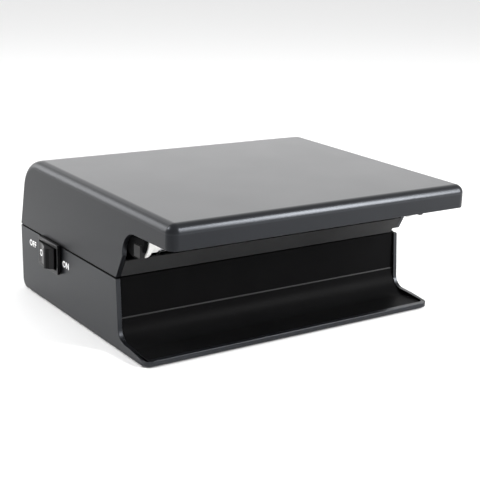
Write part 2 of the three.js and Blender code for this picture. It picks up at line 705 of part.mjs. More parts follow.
function inletOpening() {
  const section = inletSection({
    halfLength: INLET_BODY.halfLength + CLEAR,
    halfHeight: INLET_BODY.halfHeight + CLEAR,
  });
  return extrude(section, 'y', BOX_BACK_Y - OVERCUT, BASE_DEPTH + OVERCUT);
}

function inletBody() {
  const innerY = INLET_FACE_Y - INLET_DEPTH;
  const flangeY = INLET_FACE_Y - INLET_FLANGE.thickness;
  const outerY = INLET_FACE_Y + OVERCUT;
  return extrude(inletSection(INLET_FLANGE), 'y', flangeY, INLET_FACE_Y)
    .add(extrude(inletSection(INLET_BODY), 'y', innerY, flangeY + INLET_FLANGE.thickness / 2))
    .subtract(extrude(inletSection(INLET_SOCKET), 'y', innerY + INLET_FLOOR, outerY));
}

piece('inlet_body', switchBlack, inletBody());
for (const [side, sign] of SIDES) {
  const x = INLET_X + sign * INLET_PIN_OFFSET;
  const start = INLET_FACE_Y - INLET_DEPTH + INLET_FLOOR + CLEAR;
  const pin = rod('y', [x, 0, INLET_Z], INLET_PIN_RADIUS, start, start + INLET_PIN_LENGTH, FEW);
  piece(`inlet_pin_${side}`, brightMetal, pin);
}

// ---------------------------------------------------------------- ballast board

function circuitBoard() {
  let board = block(BOARD_X - BOARD_HALF_LENGTH, BOARD_X + BOARD_HALF_LENGTH,
    BOARD_Y - BOARD_HALF_DEPTH, BOARD_Y + BOARD_HALF_DEPTH, BOARD_Z, BOARD_TOP_Z);
  for (const [, x, y] of BOARD_SCREWS) {
    board = board.subtract(rod('z', [x, y, 0], BOARD_SCREW_BORE,
      BOARD_Z - OVERCUT, BOARD_TOP_Z + OVERCUT, FEW));
  }
  return board;
}

piece('circuit_board', boardGreen, circuitBoard());

for (const [side, x, y] of BOARD_SCREWS) {
  const profile = screwProfile({
    seat: ON_BOARD_Z, headHeight: 1.9, headRadius: 2.8, shankRadius: 1.15, end: 4,
  }).toReversed();
  piece(`board_screw_${side}`, brightMetal, turned(profile, 'z', [x, y, 0], FEW));
}

// The choke: a ferrite frame with two windows, and a winding round its middle leg.
const CHOKE = { x: -12, y: 80, z: 21, halfLength: 12, halfDepth: 7, topZ: 30 };
const CHOKE_LEG = 1.5; // half of the middle leg's height
const WINDING = { halfLength: 7, halfDepth: 10, halfHeight: 4.7, corner: 2 };

function aroundChoke(halfLength, halfDepth, halfHeight) {
  const { x, y, z } = CHOKE;
  return block(x - halfLength, x + halfLength, y - halfDepth, y + halfDepth,
    z - halfHeight, z + halfHeight);
}

function chokeCore() {
  const { x, y, halfLength, halfDepth, topZ } = CHOKE;
  const window = aroundChoke(WINDING.halfLength + CLEAR, halfDepth + OVERCUT,
    WINDING.halfHeight + CLEAR);
  const leg = aroundChoke(halfLength, halfDepth, CHOKE_LEG);
  return block(x - halfLength, x + halfLength, y - halfDepth, y + halfDepth, ON_BOARD_Z, topZ)
    .subtract(window)
    .add(leg);
}

function chokeWinding() {
  const { x, y, z, halfDepth } = CHOKE;
  const section = rectangle(y - WINDING.halfDepth, y + WINDING.halfDepth,
    z - WINDING.halfHeight, z + WINDING.halfHeight, WINDING.corner);
  return extrude(section, 'x', x - WINDING.halfLength, x + WINDING.halfLength)
    .subtract(aroundChoke(WINDING.halfLength + OVERCUT, halfDepth + CLEAR, CHOKE_LEG + CLEAR));
}

piece('choke_core', ferrite, chokeCore());
piece('choke_winding', copper, chokeWinding());

const CAN = { x: 18, y: 70, radius: 6.2, height: 22, chamfer: 0.5 };

function reservoirCapacitor() {
  const { x, y, radius, height, chamfer } = CAN;
  const top = ON_BOARD_Z + height;
  const profile = [
    [0, ON_BOARD_Z],
    [radius - chamfer, ON_BOARD_Z],
    [radius, ON_BOARD_Z + chamfer],
    [radius, top - chamfer],
    [radius - chamfer, top],
    [0, top],
  ];
  return turned(profile, 'z', [x, y, 0]);
}

const FILM = { x: 19, y: 91.5, halfLength: 9, halfDepth: 3.5, height: 13, corner: 1.2 };

function filmCapacitor() {
  const { x, y, halfLength, halfDepth, height, corner } = FILM;
  const plan = rectangle(x - halfLength, x + halfLength, y - halfDepth, y + halfDepth, corner);
  return extrude(plan, 'z', ON_BOARD_Z, ON_BOARD_Z + height);
}

piece('reservoir_capacitor', sleeveBlue, reservoirCapacitor());
piece('film_capacitor', filmRed, filmCapacitor());

// A transistor's resin body with its cooling tab standing up behind it, and a hole in the tab.
const TRANSISTOR = { halfWidth: 5, halfDepth: 2.2, height: 10 };
const TAB = { thickness: 1.3, height: 6, holeRadius: 1.8, holeHeight: 3.2 };

function transistor(x, y) {
  const { halfWidth, halfDepth, height } = TRANSISTOR;
  const bodyTop = ON_BOARD_Z + height;
  const backY = y + halfDepth;
  const tab = block(x - halfWidth, x + halfWidth, backY - TAB.thickness, backY,
    bodyTop - OVERCUT, bodyTop + TAB.height);
  const hole = rod('y', [x, 0, bodyTop + TAB.holeHeight], TAB.holeRadius,
    y, backY + OVERCUT, FEW);
  return block(x - halfWidth, x + halfWidth, y - halfDepth, backY, ON_BOARD_Z, bodyTop)
    .add(tab)
    .subtract(hole);
}

piece('transistor_left', resinBlack, transistor(34, 66));
piece('transistor_right', resinBlack, transistor(34, 80));

// A fuse lying on the board: two caps with a slightly thinner glass between them.
const FUSE = { x: 2, y: 100, radius: 2.6, glassRadius: 2.3, halfLength: 10, halfGlass: 5 };

function fuse() {
  const { x, y, radius, glassRadius, halfLength, halfGlass } = FUSE;
  const profile = [
    [0, -halfLength],
    [radius, -halfLength],
    [radius, -halfGlass],
    [glassRadius, -halfGlass],
    [glassRadius, halfGlass],
    [radius, halfGlass],
    [radius, halfLength],
    [0, halfLength],
  ];
  return turned(profile, 'x', [x, y, ON_BOARD_Z + radius], FEW);
}

piece('fuse', fuseGlass, fuse());

// ---------------------------------------------------------------- inner wiring

function wire(name, material, route) {
  const path = new THREE.CatmullRomCurve3(route.map((at) => new THREE.Vector3(...at)));
  const section = Array.from({ length: WIRE_SIDES }, (_, k) => {
    const angle = (k / WIRE_SIDES) * 2 * Math.PI;
    return new THREE.Vector2(WIRE_RADIUS * Math.cos(angle), WIRE_RADIUS * Math.sin(angle));
  });
  const geometry = new THREE.ExtrudeGeometry(new THREE.Shape(section), {
    steps: 4 * (route.length - 1),
    extrudePath: path,
  });
  piece(name, material, solid(geometry));
}

const TERMINAL_END_X = TERMINAL_X + TERMINAL_LENGTH + 2 * CLEAR;
const INLET_BACK_Y = INLET_FACE_Y - INLET_DEPTH - 2 * CLEAR;
const HOLDER_BACK_Y = LAMP_Y + HOLDER_FLANGE_RADIUS + 2 * CLEAR;
const WIRE_END_Z = ON_BOARD_Z + CLEAR;

wire('wire_inlet_to_switch', wireBrown, [
  [INLET_X - INLET_PIN_OFFSET, INLET_BACK_Y, INLET_Z],
  [INLET_X - INLET_PIN_OFFSET, INLET_BACK_Y - 2, INLET_Z], [34, 107.5, 16.5], [16, 109, 18.5],
  [-10, 109.5, 21], [-36, 106, 24], [-50, 98.5, 25], [-54, 96.7, SWITCH_Z],
  [TERMINAL_END_X, SWITCH_Y + TERMINAL_OFFSET, SWITCH_Z],
]);
wire('wire_switch_to_board', wireBrown, [
  [TERMINAL_END_X, SWITCH_Y - TERMINAL_OFFSET, SWITCH_Z], [-54, 86.2, SWITCH_Z],
  [-46, 82, 22.5], [-37, 77.5, 19], [-30.5, 75.5, 17], [-28, 75.5, 14.5],
  [-28, 75.5, WIRE_END_Z],
]);
wire('wire_inlet_to_board', wireBlue, [
  [INLET_X + INLET_PIN_OFFSET, INLET_BACK_Y, INLET_Z],
  [INLET_X + INLET_PIN_OFFSET, INLET_BACK_Y - 2, INLET_Z], [50.5, 104, 19], [46, 96.5, 20],
  [42, 92.6, 16], [41.5, 92.5, 14], [41.5, 92.5, WIRE_END_Z],
]);
wire('wire_lamp_left', wireWhite, [
  [-74.3, HOLDER_BACK_Y, 56], [-74.3, HOLDER_BACK_Y + 2, 56], [-70, 31, 52], [-58, 34, 47],
  [-48, 46, 36], [-42, 56, 24], [-33, 64, 17], [-28, 66, 14], [-28, 66, WIRE_END_Z],
]);
wire('wire_lamp_right', wireWhite, [
  [74.3, HOLDER_BACK_Y, 56], [74.3, HOLDER_BACK_Y + 2, 56], [70, 31, 52], [58, 34, 47],
  [52, 46, 36], [48, 56, 24], [46, 61, 17], [45.5, 61.5, 14], [45.5, 61.5, WIRE_END_Z],
]);

export default casing;
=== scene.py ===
"""Countertop counterfeit bill detector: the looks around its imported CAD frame.

Shapes are given in the casing's own millimetres, as on its drawing: x from its middle, y back
from the tray's front edge, z up from its underside. placed() turns them into the frame's metres.
"""

import math

import bmesh
import bpy
from mathutils import Matrix, Vector


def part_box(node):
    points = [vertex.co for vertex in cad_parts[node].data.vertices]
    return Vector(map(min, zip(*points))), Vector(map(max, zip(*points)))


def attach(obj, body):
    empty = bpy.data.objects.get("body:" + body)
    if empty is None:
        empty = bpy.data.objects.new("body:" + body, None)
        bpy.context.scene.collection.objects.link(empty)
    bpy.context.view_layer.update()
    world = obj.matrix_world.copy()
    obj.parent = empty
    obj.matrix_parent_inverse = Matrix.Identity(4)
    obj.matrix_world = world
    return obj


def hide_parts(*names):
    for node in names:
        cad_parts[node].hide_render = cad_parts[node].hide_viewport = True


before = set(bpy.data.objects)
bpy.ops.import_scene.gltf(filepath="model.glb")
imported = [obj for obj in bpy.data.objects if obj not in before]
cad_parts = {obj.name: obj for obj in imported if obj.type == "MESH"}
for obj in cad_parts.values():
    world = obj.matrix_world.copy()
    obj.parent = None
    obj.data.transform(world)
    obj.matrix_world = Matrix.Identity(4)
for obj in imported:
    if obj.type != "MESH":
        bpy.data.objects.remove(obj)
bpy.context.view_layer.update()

# ---------------------------------------------------------------- the casing's measures

MM = 0.001
LOWER_LOW, LOWER_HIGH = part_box("lower_housing")
UPPER_LOW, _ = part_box("upper_housing")
ORIGIN = Vector(((LOWER_LOW.x + LOWER_HIGH.x) / 2, LOWER_LOW.y, LOWER_LOW.z))
CASING = Matrix.Translation(ORIGIN) @ Matrix.Scale(MM, 4)

HALF_WIDTH = (LOWER_HIGH.x - LOWER_LOW.x) / 2 / MM
BASE_DEPTH = (LOWER_HIGH.y - LOWER_LOW.y) / MM
LID_OVERHANG = (LOWER_LOW.y - UPPER_LOW.y) / MM
SEAM_Z = (LOWER_HIGH.z - LOWER_LOW.z) / MM
CLEAR = 0.3  # gap between neighbouring pieces
UPPER_Z = SEAM_Z + CLEAR  # the seam as it looks is the groove between these two heights
LOWER_TOP_Z = SEAM_Z - 0.5
TONGUE_INSET = 0.8  # how deep that groove is
TONGUE_GAP = 0.1
WALL = 2.2
FLOOR = 1.9
INNER_X = HALF_WIDTH - WALL
OVERCUT = 1  # how far a cut runs past the face that it opens

BASE_BACK_TUCK = 1.2  # the lower back wall leans in towards its foot by this much
BASE_BACK_ROUND = 4.3
BAY_WALL_Y = 26.4  # front edge of the side walls, at the seam
RIM_FOOT = (24.8, 13.1)  # (y, z), where that edge starts to sweep out into the tray's rim
RIM_BACK = (24.3, 4.5)
RIM_BEND_RADIUS = 6
RIM_STEP = (13.2, 3.6)
RIM_FRONT_Z = 2.3
TRAY_SWEEP = 11.2  # radius of the tray's floor where it sweeps up into the bay's wall
TRAY_BACK_Y = 25.9  # the bay's wall: at the floor, the rim's foot and the seam
TRAY_BACK_FOOT_Y = 26.2
TRAY_BACK_SEAM_Y = 27.4
LEDGE = 0.5  # a fine sloping ledge along that wall, level with the rim's foot
BOX_FRONT_Y = 29.6  # the box behind the bay, inside

LID_EDGE_Z = 54.7  # underside of the lid's rim
LID_FRONT_Z = 65.4  # top face, at the front lip
LID_SLOPE = 0.0145
BACK_LEAN = math.tan(math.radians(13))  # the upper back wall leans forward
NOTCH_Y = 20.7  # the side walls' front edge, from NOTCH_Z up to the round under the lid
NOTCH_Z = 43
NOTCH_RADIUS = 10.4
LAMP_WALL_TOP_Z = 40.2
LAMP_WALL = 2.3
RELIEF_X = 75.7  # inner end of a small relief in the right wall, just over the seam
RELIEF_DEPTH = 7
RELIEF_HEIGHT = 2.2
RELIEF_RADIUS = 2

FRONT_RADIUS = 4.3  # upright corners at the front
BACK_RADIUS = 2  # and at the back
LID_RADIUS = 4.3
BACK_TOP_RADIUS = 18  # the big round over the back

LAMP_Y = 15
LAMP_Z = 52.6
LAMP_AXIS = (0, LAMP_Y, LAMP_Z)
LAMP_RADIUS = 7.75
LAMP_FACE_X = 68  # outer face of each end cap
CAP_LENGTH = 6.5
PIN_OFFSET = 2.5  # of each contact pin from the lamp's axis
PIN_RADIUS = 1.15
PIN_END_X = 74
HOLDER_X = 68.4
HOLDER_FLANGE_X = 73.2
HOLDER_END_X = 75.4
HOLDER_FLANGE_RADIUS = 9.4
HOLDER_TOP_Z = 62
ROTOR_RADIUS = 5.8
ROTOR_END_X = PIN_END_X + 0.4
ROTOR_PIN_BORE = 1.45
BRACKET_RADIUS = 9
STUD_Y = LAMP_Y - 4.7  # the small square stud low on each bracket
STUD_LOW_Z = 45.1
STUD_SIZE = 5.2
STUD_REACH = 1.2  # to either side of the bracket's outer face

SWITCH_Y = 91.5
SWITCH_Z = 25.1
BEZEL_HALF = (10.75, 7.1)
BEZEL_CORNER = 0.8
BEZEL_PROUD = 2
SWITCH_BODY_HALF = (9.95, 6.2)
SWITCH_BODY_DEPTH = 14
SWITCH_BODY_FLOOR = 3
POCKET_HALF = (9.5, 5.3)
PIVOT_X = -HALF_WIDTH + 2  # the rocker turns about an upright axis here, at SWITCH_Y
ROCKER_HALF_THROW = math.radians(14)

INLET_X = 46
INLET_Z = 15.5
INLET_FACE_Y = BASE_DEPTH + 1
INLET_DEPTH = 18
INLET_FLOOR = 3
INLET_FLANGE_HALF = (11, 7.6)
INLET_FLANGE_DEPTH = 0.8
INLET_BODY_HALF = (9, 5.8)
INLET_SOCKET_HALF = (7.6, 4.3)
INLET_PIN_OFFSET = 4.3
INLET_PIN_RADIUS = 1.2
INLET_PIN_LENGTH = 11

FOOT_RADIUS = 5.5
FOOT_DROP = 0.8
FOOT_RECESS = 0.6
HEAD_SEAT_Z = 20  # the casing screws' heads sit this deep in the base
HEAD_BORE = 3.3
HEAD_RADIUS = 2.9
HEAD_HEIGHT = 2
SHANK_RADIUS = 1.35
SHANK_TIP_Z = 43
SCREW_BORE = 1.7
BOSS_TUBE_RADIUS = 4.6  # around each screw, up from the base
POST_RADIUS = 4  # and down from the lid
POST_BOTTOM_Z = SEAM_Z - 1.4
POST_BORE_DEPTH = 16
BOARD_X = 10
BOARD_Y = 80
BOARD_Z = 10
BOARD_SCREW_X = 38  # from the board's middle
BOARD_SCREW_Y = 20
BOARD_SCREW_BORE = 1.4
STANDOFF_RADIUS = 3.2

SIDES = {"left": -1, "right": 1}
CORNERS = ("front_left", "front_right", "back_left", "back_right")


def corner_places(x, front_y, back_y):
    return [(sign * x, y) for y in (front_y, back_y) for sign in (-1, 1)]


BOSSES = corner_places(66, 38, 107.5)
FEET = corner_places(69, 12, 119.5)
BOARD_SCREWS = [
    (BOARD_X + sign * BOARD_SCREW_X, BOARD_Y + sign * BOARD_SCREW_Y) for sign in (-1, 1)
]

# ---------------------------------------------------------------- camera, light and floor

CAMERA_PLACE = (-0.27993, -0.41631, 0.17381)
CAMERA_HEADING = math.radians(34.555)  # from +Y towards +X
CAMERA_PITCH = math.radians(15.778)  # below the horizon
CAMERA_ROLL = math.radians(1.825)
CAMERA_LENS = 80.391
LIGHT_TARGET = (0, 0, 0.06)
FLOOR_BESIDE = (-0.13, 0, 0)
FRONT_LIGHT = 0.65
BACK_LIGHT = 1.95
BACK_HEADING = math.radians(25)  # from +Y towards +X
BACK_FADE = 0.4  # cosine of the angle from that heading at which the brighter side begins


def make_camera():
    data = bpy.data.cameras.new("camera")
    data.lens = CAMERA_LENS
    data.clip_start = 0.01
    camera = bpy.data.objects.new("camera", data)
    heading = Matrix.Rotation(-CAMERA_HEADING, 4, "Z")
    pitch = Matrix.Rotation(math.pi / 2 - CAMERA_PITCH, 4, "X")
    roll = Matrix.Rotation(CAMERA_ROLL, 4, "Z")
    camera.matrix_world = Matrix.Translation(CAMERA_PLACE) @ heading @ pitch @ roll
    bpy.context.scene.collection.objects.link(camera)
    bpy.context.scene.camera = camera


def softbox(name, place, size, watts, target=LIGHT_TARGET, spread=math.pi):
    """A rectangular light that faces the lid, or another target."""
    data = bpy.data.lights.new(name, "AREA")
    data.shape = "RECTANGLE"
    data.size, data.size_y = size
    data.energy = watts
    data.spread = spread
    light = bpy.data.objects.new(name, data)
    light.location = place
    towards = Vector(target) - Vector(place)
    light.rotation_euler = towards.to_track_quat("-Z", "Y").to_euler()
    bpy.context.scene.collection.objects.link(light)


def make_world():
    """An even white studio, brighter on the far side of the object, as the camera looks."""
    world = bpy.data.worlds.new("studio")
    world.use_nodes = True
    tree = world.node_tree
    background = tree.nodes["Background"]
    background.inputs["Color"].default_value = (1, 1, 1, 1)
    direction = tree.nodes.new("ShaderNodeTexCoord")
    towards = tree.nodes.new("ShaderNodeVectorMath")
    towards.operation = "DOT_PRODUCT"
    towards.inputs[1].default_value = (math.sin(BACK_HEADING), math.cos(BACK_HEADING), 0)
    ramp = tree.nodes.new("ShaderNodeMapRange")
    ramp.interpolation_type = "SMOOTHSTEP"
    ramp.inputs["From Min"].default_value = BACK_FADE
    ramp.inputs["From Max"].default_value = 1
    ramp.inputs["To Min"].default_value = FRONT_LIGHT
    ramp.inputs["To Max"].default_value = BACK_LIGHT
    tree.links.new(direction.outputs["Generated"], towards.inputs[0])
    tree.links.new(towards.outputs["Value"], ramp.inputs["Value"])
    tree.links.new(ramp.outputs["Result"], background.inputs["Strength"])
    bpy.context.scene.world = world


def make_floor():
    bpy.ops.mesh.primitive_plane_add(size=12)
    floor = bpy.context.object
    floor.name = "floor"
    floor.data.materials.append(Shader("floor", (0.96, 0.96, 0.96), 0.8).material)


def make_studio():
    bpy.context.scene.view_settings.view_transform = "Standard"
    make_world()
    make_floor()
    softbox("softbox_front", (0.765, -0.86, 0.64), (0.26, 0.68), 24)
    softbox("softbox_back", (-0.61, 0.98, 0.38), (0.35, 0.6), 3.2)
    narrow = math.radians(50)
    softbox("light_beside", (-0.45, 0.2, 0.42), (0.15, 0.15), 0.18, FLOOR_BESIDE, narrow)


# ---------------------------------------------------------------- shader helper


class Shader:
    """A Principled material, with short ways to drive its colour, roughness and bump."""

    def __init__(self, name, color, roughness, metallic=0.0, **constants):
        self.material = bpy.data.materials.new(name)
        self.material.use_nodes = True
        self.tree = self.material.node_tree
        self.principled = self.tree.nodes["Principled BSDF"]
        self.principled.inputs["Base Color"].default_value = (*color, 1)
        self.principled.inputs["Roughness"].default_value = roughness
        self.principled.inputs["Metallic"].default_value = metallic
        for socket, value in constants.items():
            self.principled.inputs[socket.replace("_", " ")].default_value = value
        self.place = self.tree.nodes.new("ShaderNodeTexCoord").outputs["Object"]

    def link(self, output, node, socket):
        self.tree.links.new(output, node.inputs[socket])

    def stretched(self, x, y, z):
        mapping = self.tree.nodes.new("ShaderNodeMapping")
        mapping.inputs["Scale"].default_value = (x, y, z)
        self.link(self.place, mapping, "Vector")
        return mapping.outputs["Vector"]

    def noise(self, size_mm, detail=2.0, place=None):
        node = self.tree.nodes.new("ShaderNodeTexNoise")
        node.inputs["Scale"].default_value = 1 / (size_mm * MM)
        node.inputs["Detail"].default_value = detail
        self.link(place or self.place, node, "Vector")
        return node.outputs["Fac"]

    def spread(self, value, low, high, start=0.3, end=0.7):
        node = self.tree.nodes.new("ShaderNodeMapRange")
        node.inputs["From Min"].default_value = start
        node.inputs["From Max"].default_value = end
        node.inputs["To Min"].default_value = low
        node.inputs["To Max"].default_value = high
        self.link(value, node, "Value")
        return node.outputs["Result"]

    def blend(self, value, first, second):
        node = self.tree.nodes.new("ShaderNodeMix")
        node.data_type = "RGBA"
        node.inputs["A"].default_value = (*first, 1)
        node.inputs["B"].default_value = (*second, 1)
        self.link(value, node, "Factor")
        return node.outputs["Result"]

    def color(self, output):
        self.link(output, self.principled, "Base Color")
        return self

    def roughness(self, output):
        self.link(output, self.principled, "Roughness")
        return self

    def bump(self, height, depth_mm):
        node = self.tree.nodes.new("ShaderNodeBump")
        node.inputs["Strength"].default_value = 1
        node.inputs["Distance"].default_value = depth_mm * MM
        earlier = self.principled.inputs["Normal"].links
        if earlier:
            self.link(earlier[0].from_socket, node, "Normal")
        self.link(height, node, "Height")
        self.link(node.outputs["Normal"], self.principled, "Normal")
        return self


def moulded_plastic(name, color, roughness, grain_mm=0.35, grain_depth_mm=0.012, **constants):
    """Moulded plastic: fine grain in its surface, and gloss that varies a little over it."""
    shader = Shader(name, color, roughness, **constants)
    cloud = shader.noise(28, 3)
    lighter = tuple(1.25 * part for part in color)
    shader.color(shader.blend(shader.spread(cloud, 0, 1), color, lighter))
    shader.roughness(shader.spread(cloud, roughness - 0.01, roughness + 0.01))
    shader.bump(shader.noise(grain_mm, 3), grain_depth_mm)
    return shader.material


def plated_metal(name, color, roughness, grain_mm=0.5):
    shader = Shader(name, color, roughness, metallic=1.0)
    cloud = shader.noise(3, 3)
    darker = tuple(0.8 * part for part in color)
    shader.color(shader.blend(shader.spread(cloud, 0, 1), darker, color))
    shader.roughness(shader.spread(cloud, roughness - 0.06, roughness + 0.1))
    shader.bump(shader.noise(grain_mm, 2, shader.stretched(1, 6, 6)), 0.01)
    return shader.material


# ---------------------------------------------------------------- outlines and solids

ARC_STEP = math.radians(6)
MERGED = 1e-5  # points closer than this are made into one
WELDED = 2e-3  # and closer than this after joining and cutting
NO_AREA = 1e-9
FLAT_ANGLE = math.radians(0.5)
SHARP_ANGLE = math.radians(35)
SLIVER = 0.01  # the length left between two arcs that would otherwise meet in one point


def corner_arc(corner, back, on, radius):
    """The arc that rounds a corner whose sides leave it along the unit vectors back and on."""
    half_angle = math.acos(max(-1, min(1, back.dot(on)))) / 2
    turn = math.pi - 2 * half_angle
    centre = corner + (back + on).normalized() * (radius / math.sin(half_angle))
    start = corner + back * (radius / math.tan(half_angle)) - centre
    way = math.copysign(1, back.y * on.x - back.x * on.y)
    steps = max(2, math.ceil(turn / ARC_STEP))
    turns = [way * turn * k / steps for k in range(steps + 1)]
    return [centre + Matrix.Rotation(angle, 2) @ start for angle in turns]


def outline(corners):
    """A closed outline from corners (u, v) or (u, v, radius): a radius makes the corner an arc."""
    points = []
    for i, (u, v, *radius) in enumerate(corners):
        corner = Vector((u, v))
        if not radius:
            points.append(corner)
            continue
        back = (Vector(corners[i - 1][:2]) - corner).normalized()
        on = (Vector(corners[(i + 1) % len(corners)][:2]) - corner).normalized()
        points += corner_arc(corner, back, on, radius[0])
    return points


def rectangle(u0, u1, v0, v1, radius=None):
    extra = () if radius is None else (radius,)
    return outline([(u0, v0, *extra), (u1, v0, *extra), (u1, v1, *extra), (u0, v1, *extra)])


def on_axis(axis, u, v, depth):
    """Local (u, v, depth) as (y, z, x) along x, (z, x, y) along y and (x, y, z) along z."""
    return {"x": (depth, u, v), "y": (v, depth, u), "z": (u, v, depth)}[axis]


def solid(name, rings):
    """A closed body through rings of points with equal counts, with a face at both ends."""
    mesh = bmesh.new()
    loops = [[mesh.verts.new(point) for point in ring] for ring in rings]
    count = len(loops[0])
    for one, other in zip(loops, loops[1:]):
        for i in range(count):
            j = (i + 1) % count
            mesh.faces.new((one[i], one[j], other[j], other[i]))
    mesh.faces.new(loops[0][::-1])
    mesh.faces.new(loops[-1])
    bmesh.ops.remove_doubles(mesh, verts=mesh.verts, dist=MERGED)
    bmesh.ops.recalc_face_normals(mesh, faces=mesh.faces)
    return new_object(name, mesh)


def new_object(name, mesh):
    data = bpy.data.meshes.new(name)
    mesh.to_mesh(data)
    mesh.free()
    thing = bpy.data.objects.new(name, data)
    bpy.context.scene.collection.objects.link(thing)
    return thing


def extrude(points, axis, start, end):
    rings = [[on_axis(axis, u, v, depth) for u, v in points] for depth in (start, end)]
    return solid("extrusion", rings)


def block(x0, x1, y0, y1, z0, z1):
    return extrude(rectangle(x0, x1, y0, y1), "z", z0, z1)


def turned(profile, axis, place, segments=64):
    """A closed profile of (radius, distance) points turned about an axis through a place."""
    mesh = bmesh.new()
    turns = [2 * math.pi * k / segments for k in range(segments)]
    rings = []
    for radius, distance in profile:
        ring = [
            Vector(place) + Vector(on_axis(axis, radius * math.cos(a), radius * math.sin(a), distance))
            for a in turns
        ]
        rings.append([mesh.verts.new(point) for point in ring])
    for one, other in zip(rings, rings[1:] + rings[:1]):
        for i in range(segments):
            j = (i + 1) % segments
            mesh.faces.new((one[i], one[j], other[j], other[i]))
    bmesh.ops.remove_doubles(mesh, verts=mesh.verts, dist=MERGED)
    flat = [face for face in mesh.faces if face.calc_area() < NO_AREA]
    bmesh.ops.delete(mesh, geom=flat, context="FACES")
    bmesh.ops.recalc_face_normals(mesh, faces=mesh.faces)
    return new_object("turned", mesh)


def rod(axis, place, radius, start, end, segments=64):
    return turned([(0, start), (radius, start), (radius, end), (0, end)], axis, place, segments)


def joined(body, tool, operation="UNION"):
    """body with tool joined to it, cut from it or kept in common with it. tool is used up."""
    modifier = body.modifiers.new("join", "BOOLEAN")
    modifier.operation = operation
    modifier.solver = "EXACT"
    modifier.object = tool
    baked(body)
    bpy.data.objects.remove(tool)
    return body


def cut(body, tool):
    return joined(body, tool, "DIFFERENCE")


def baked(body):
    """The same object with its modifiers turned into mesh."""
    seen = body.evaluated_get(bpy.context.evaluated_depsgraph_get())
    data = bpy.data.meshes.new_from_object(seen)
    body.modifiers.clear()
    body.data = data
    return body


def softened(body, radius, segments=3):
    """Rounds the sharp edges, and shades flat faces flat."""
    mesh = bmesh.new()
    mesh.from_mesh(body.data)
    bmesh.ops.remove_doubles(mesh, verts=mesh.verts, dist=WELDED)
    bmesh.ops.dissolve_limit(mesh, angle_limit=FLAT_ANGLE, verts=mesh.verts, edges=mesh.edges)
    mesh.to_mesh(body.data)
    mesh.free()
    bevel = body.modifiers.new("edges", "BEVEL")
    bevel.width = radius
    bevel.segments = segments
    bevel.limit_method = "ANGLE"
    bevel.angle_limit = SHARP_ANGLE
    bevel.use_clamp_overlap = False
    bevel.miter_outer = "MITER_ARC"
    baked(body)
    body.data.polygons.foreach_set("use_smooth", [True] * len(body.data.polygons))
    normals = body.modifiers.new("shading", "WEIGHTED_NORMAL")
    normals.keep_sharp = True
    normals.weight = 100
    return baked(body)


def placed(body, name, rides_on, material, slot, *replaced):
    """Moves a body from casing millimetres into the frame and hands it to its CAD body."""
    body.name = name
    body.data.name = name
    body.data.transform(CASING)
    if not body.data.materials:
        body.data.materials.append(material)
    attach(body, rides_on)
    if replaced:
        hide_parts(*replaced)
    return body


# ---------------------------------------------------------------- casing shells

CORNER_STEPS = 12


def rounded_inset(radius, x):
    """How far an edge of that radius has moved in at a distance x from the casing's middle."""
    over = max(0, x - (HALF_WIDTH - radius))
    return radius - math.sqrt(max(0, radius**2 - over**2))


def rounded_prism(side_outline):
    """A body as wide as the casing, whose side outline moves in towards both ends."""
    angles = [math.pi / 2 * k / CORNER_STEPS for k in range(CORNER_STEPS + 1)]
    stations = {
        round(HALF_WIDTH - radius * (1 - math.sin(angle)), 4)
        for radius in (FRONT_RADIUS, BACK_RADIUS)
        for angle in angles
    }
    half = sorted(stations)
    rings = []
    for x in [-x for x in reversed(half)] + half:
        points = side_outline(lambda radius: rounded_inset(radius, abs(x)))
        rings.append([(x, y, z) for y, z in points])
    return solid("shell", rings)


def lower_side(inset):
    front = inset(FRONT_RADIUS)
    back = BASE_DEPTH - inset(BACK_RADIUS)
    return outline([
        (front, 0),
        (back - BASE_BACK_TUCK, 0, BASE_BACK_ROUND),
        (back, LOWER_TOP_Z),
        (BAY_WALL_Y, LOWER_TOP_Z),
        RIM_FOOT,
        (*RIM_BACK, RIM_BEND_RADIUS),
        RIM_STEP,
        (front, RIM_FRONT_Z),
    ])


def tray_inside():
    return outline([
        (WALL, FLOOR),
        (TRAY_BACK_Y, FLOOR, TRAY_SWEEP),
        (TRAY_BACK_FOOT_Y - LEDGE / 2, RIM_FOOT[1] - LEDGE / 2),
        (TRAY_BACK_FOOT_Y + LEDGE / 2, RIM_FOOT[1] + LEDGE / 2),
        (TRAY_BACK_SEAM_Y, SEAM_Z),
        (TRAY_BACK_SEAM_Y, SEAM_Z + OVERCUT),
        (WALL, SEAM_Z + OVERCUT),
    ])


# The casing's own black, then three copies of it: a near unreflecting one that is painted shade, a
# lighter one that is painted light, and a less reflecting one that is painted shade.
TEXTURED, SHADED, LIGHTENED, DIMMED = range(4)


def finished(tool, finish):
    """Marks a body, so that the faces it leaves when it joins or cuts take that finish."""
    with_finishes(tool, (None, None, None))
    tool.data.polygons.foreach_set("material_index", [finish] * len(tool.data.polygons))
    return tool


# Inside faces take the near unreflecting black: painted shade.
def inner(tool):
    return finished(tool, SHADED)


def refinished(body, finish, test):
    """Gives a finish to the faces whose normal and centre pass a test."""
    for face in body.data.polygons:
        if test(face.normal, face.center):
            face.material_index = finish
    return body


def seam_face(normal, centre):
    near = 0.1
    return abs(normal.z) > 0.9 and LOWER_TOP_Z - near < centre.z < UPPER_Z + near


def ledge_face(normal, centre):
    return abs(centre.z - RIM_FOOT[1]) < LEDGE / 2 and abs(normal.y) > 0.5


def upright_face(normal, _):
    return abs(normal.z) < 0.01


def with_finishes(body, finishes):
    """Fills a body's material slots, so that its marked faces find their finish."""
    for _ in range(len(finishes) - len(body.data.materials)):
        body.data.materials.append(None)
    for slot, finish in enumerate(finishes):
        body.data.materials[slot] = finish
    return body


def seam_tongue():
    """The lower half's lip behind the seam, which keeps light from passing through it."""
    side = HALF_WIDTH - TONGUE_INSET
    front, back = BAY_WALL_Y + 2, BASE_DEPTH - TONGUE_INSET
    return block(-side, side, front, back, LOWER_TOP_Z - OVERCUT, UPPER_Z - TONGUE_GAP)


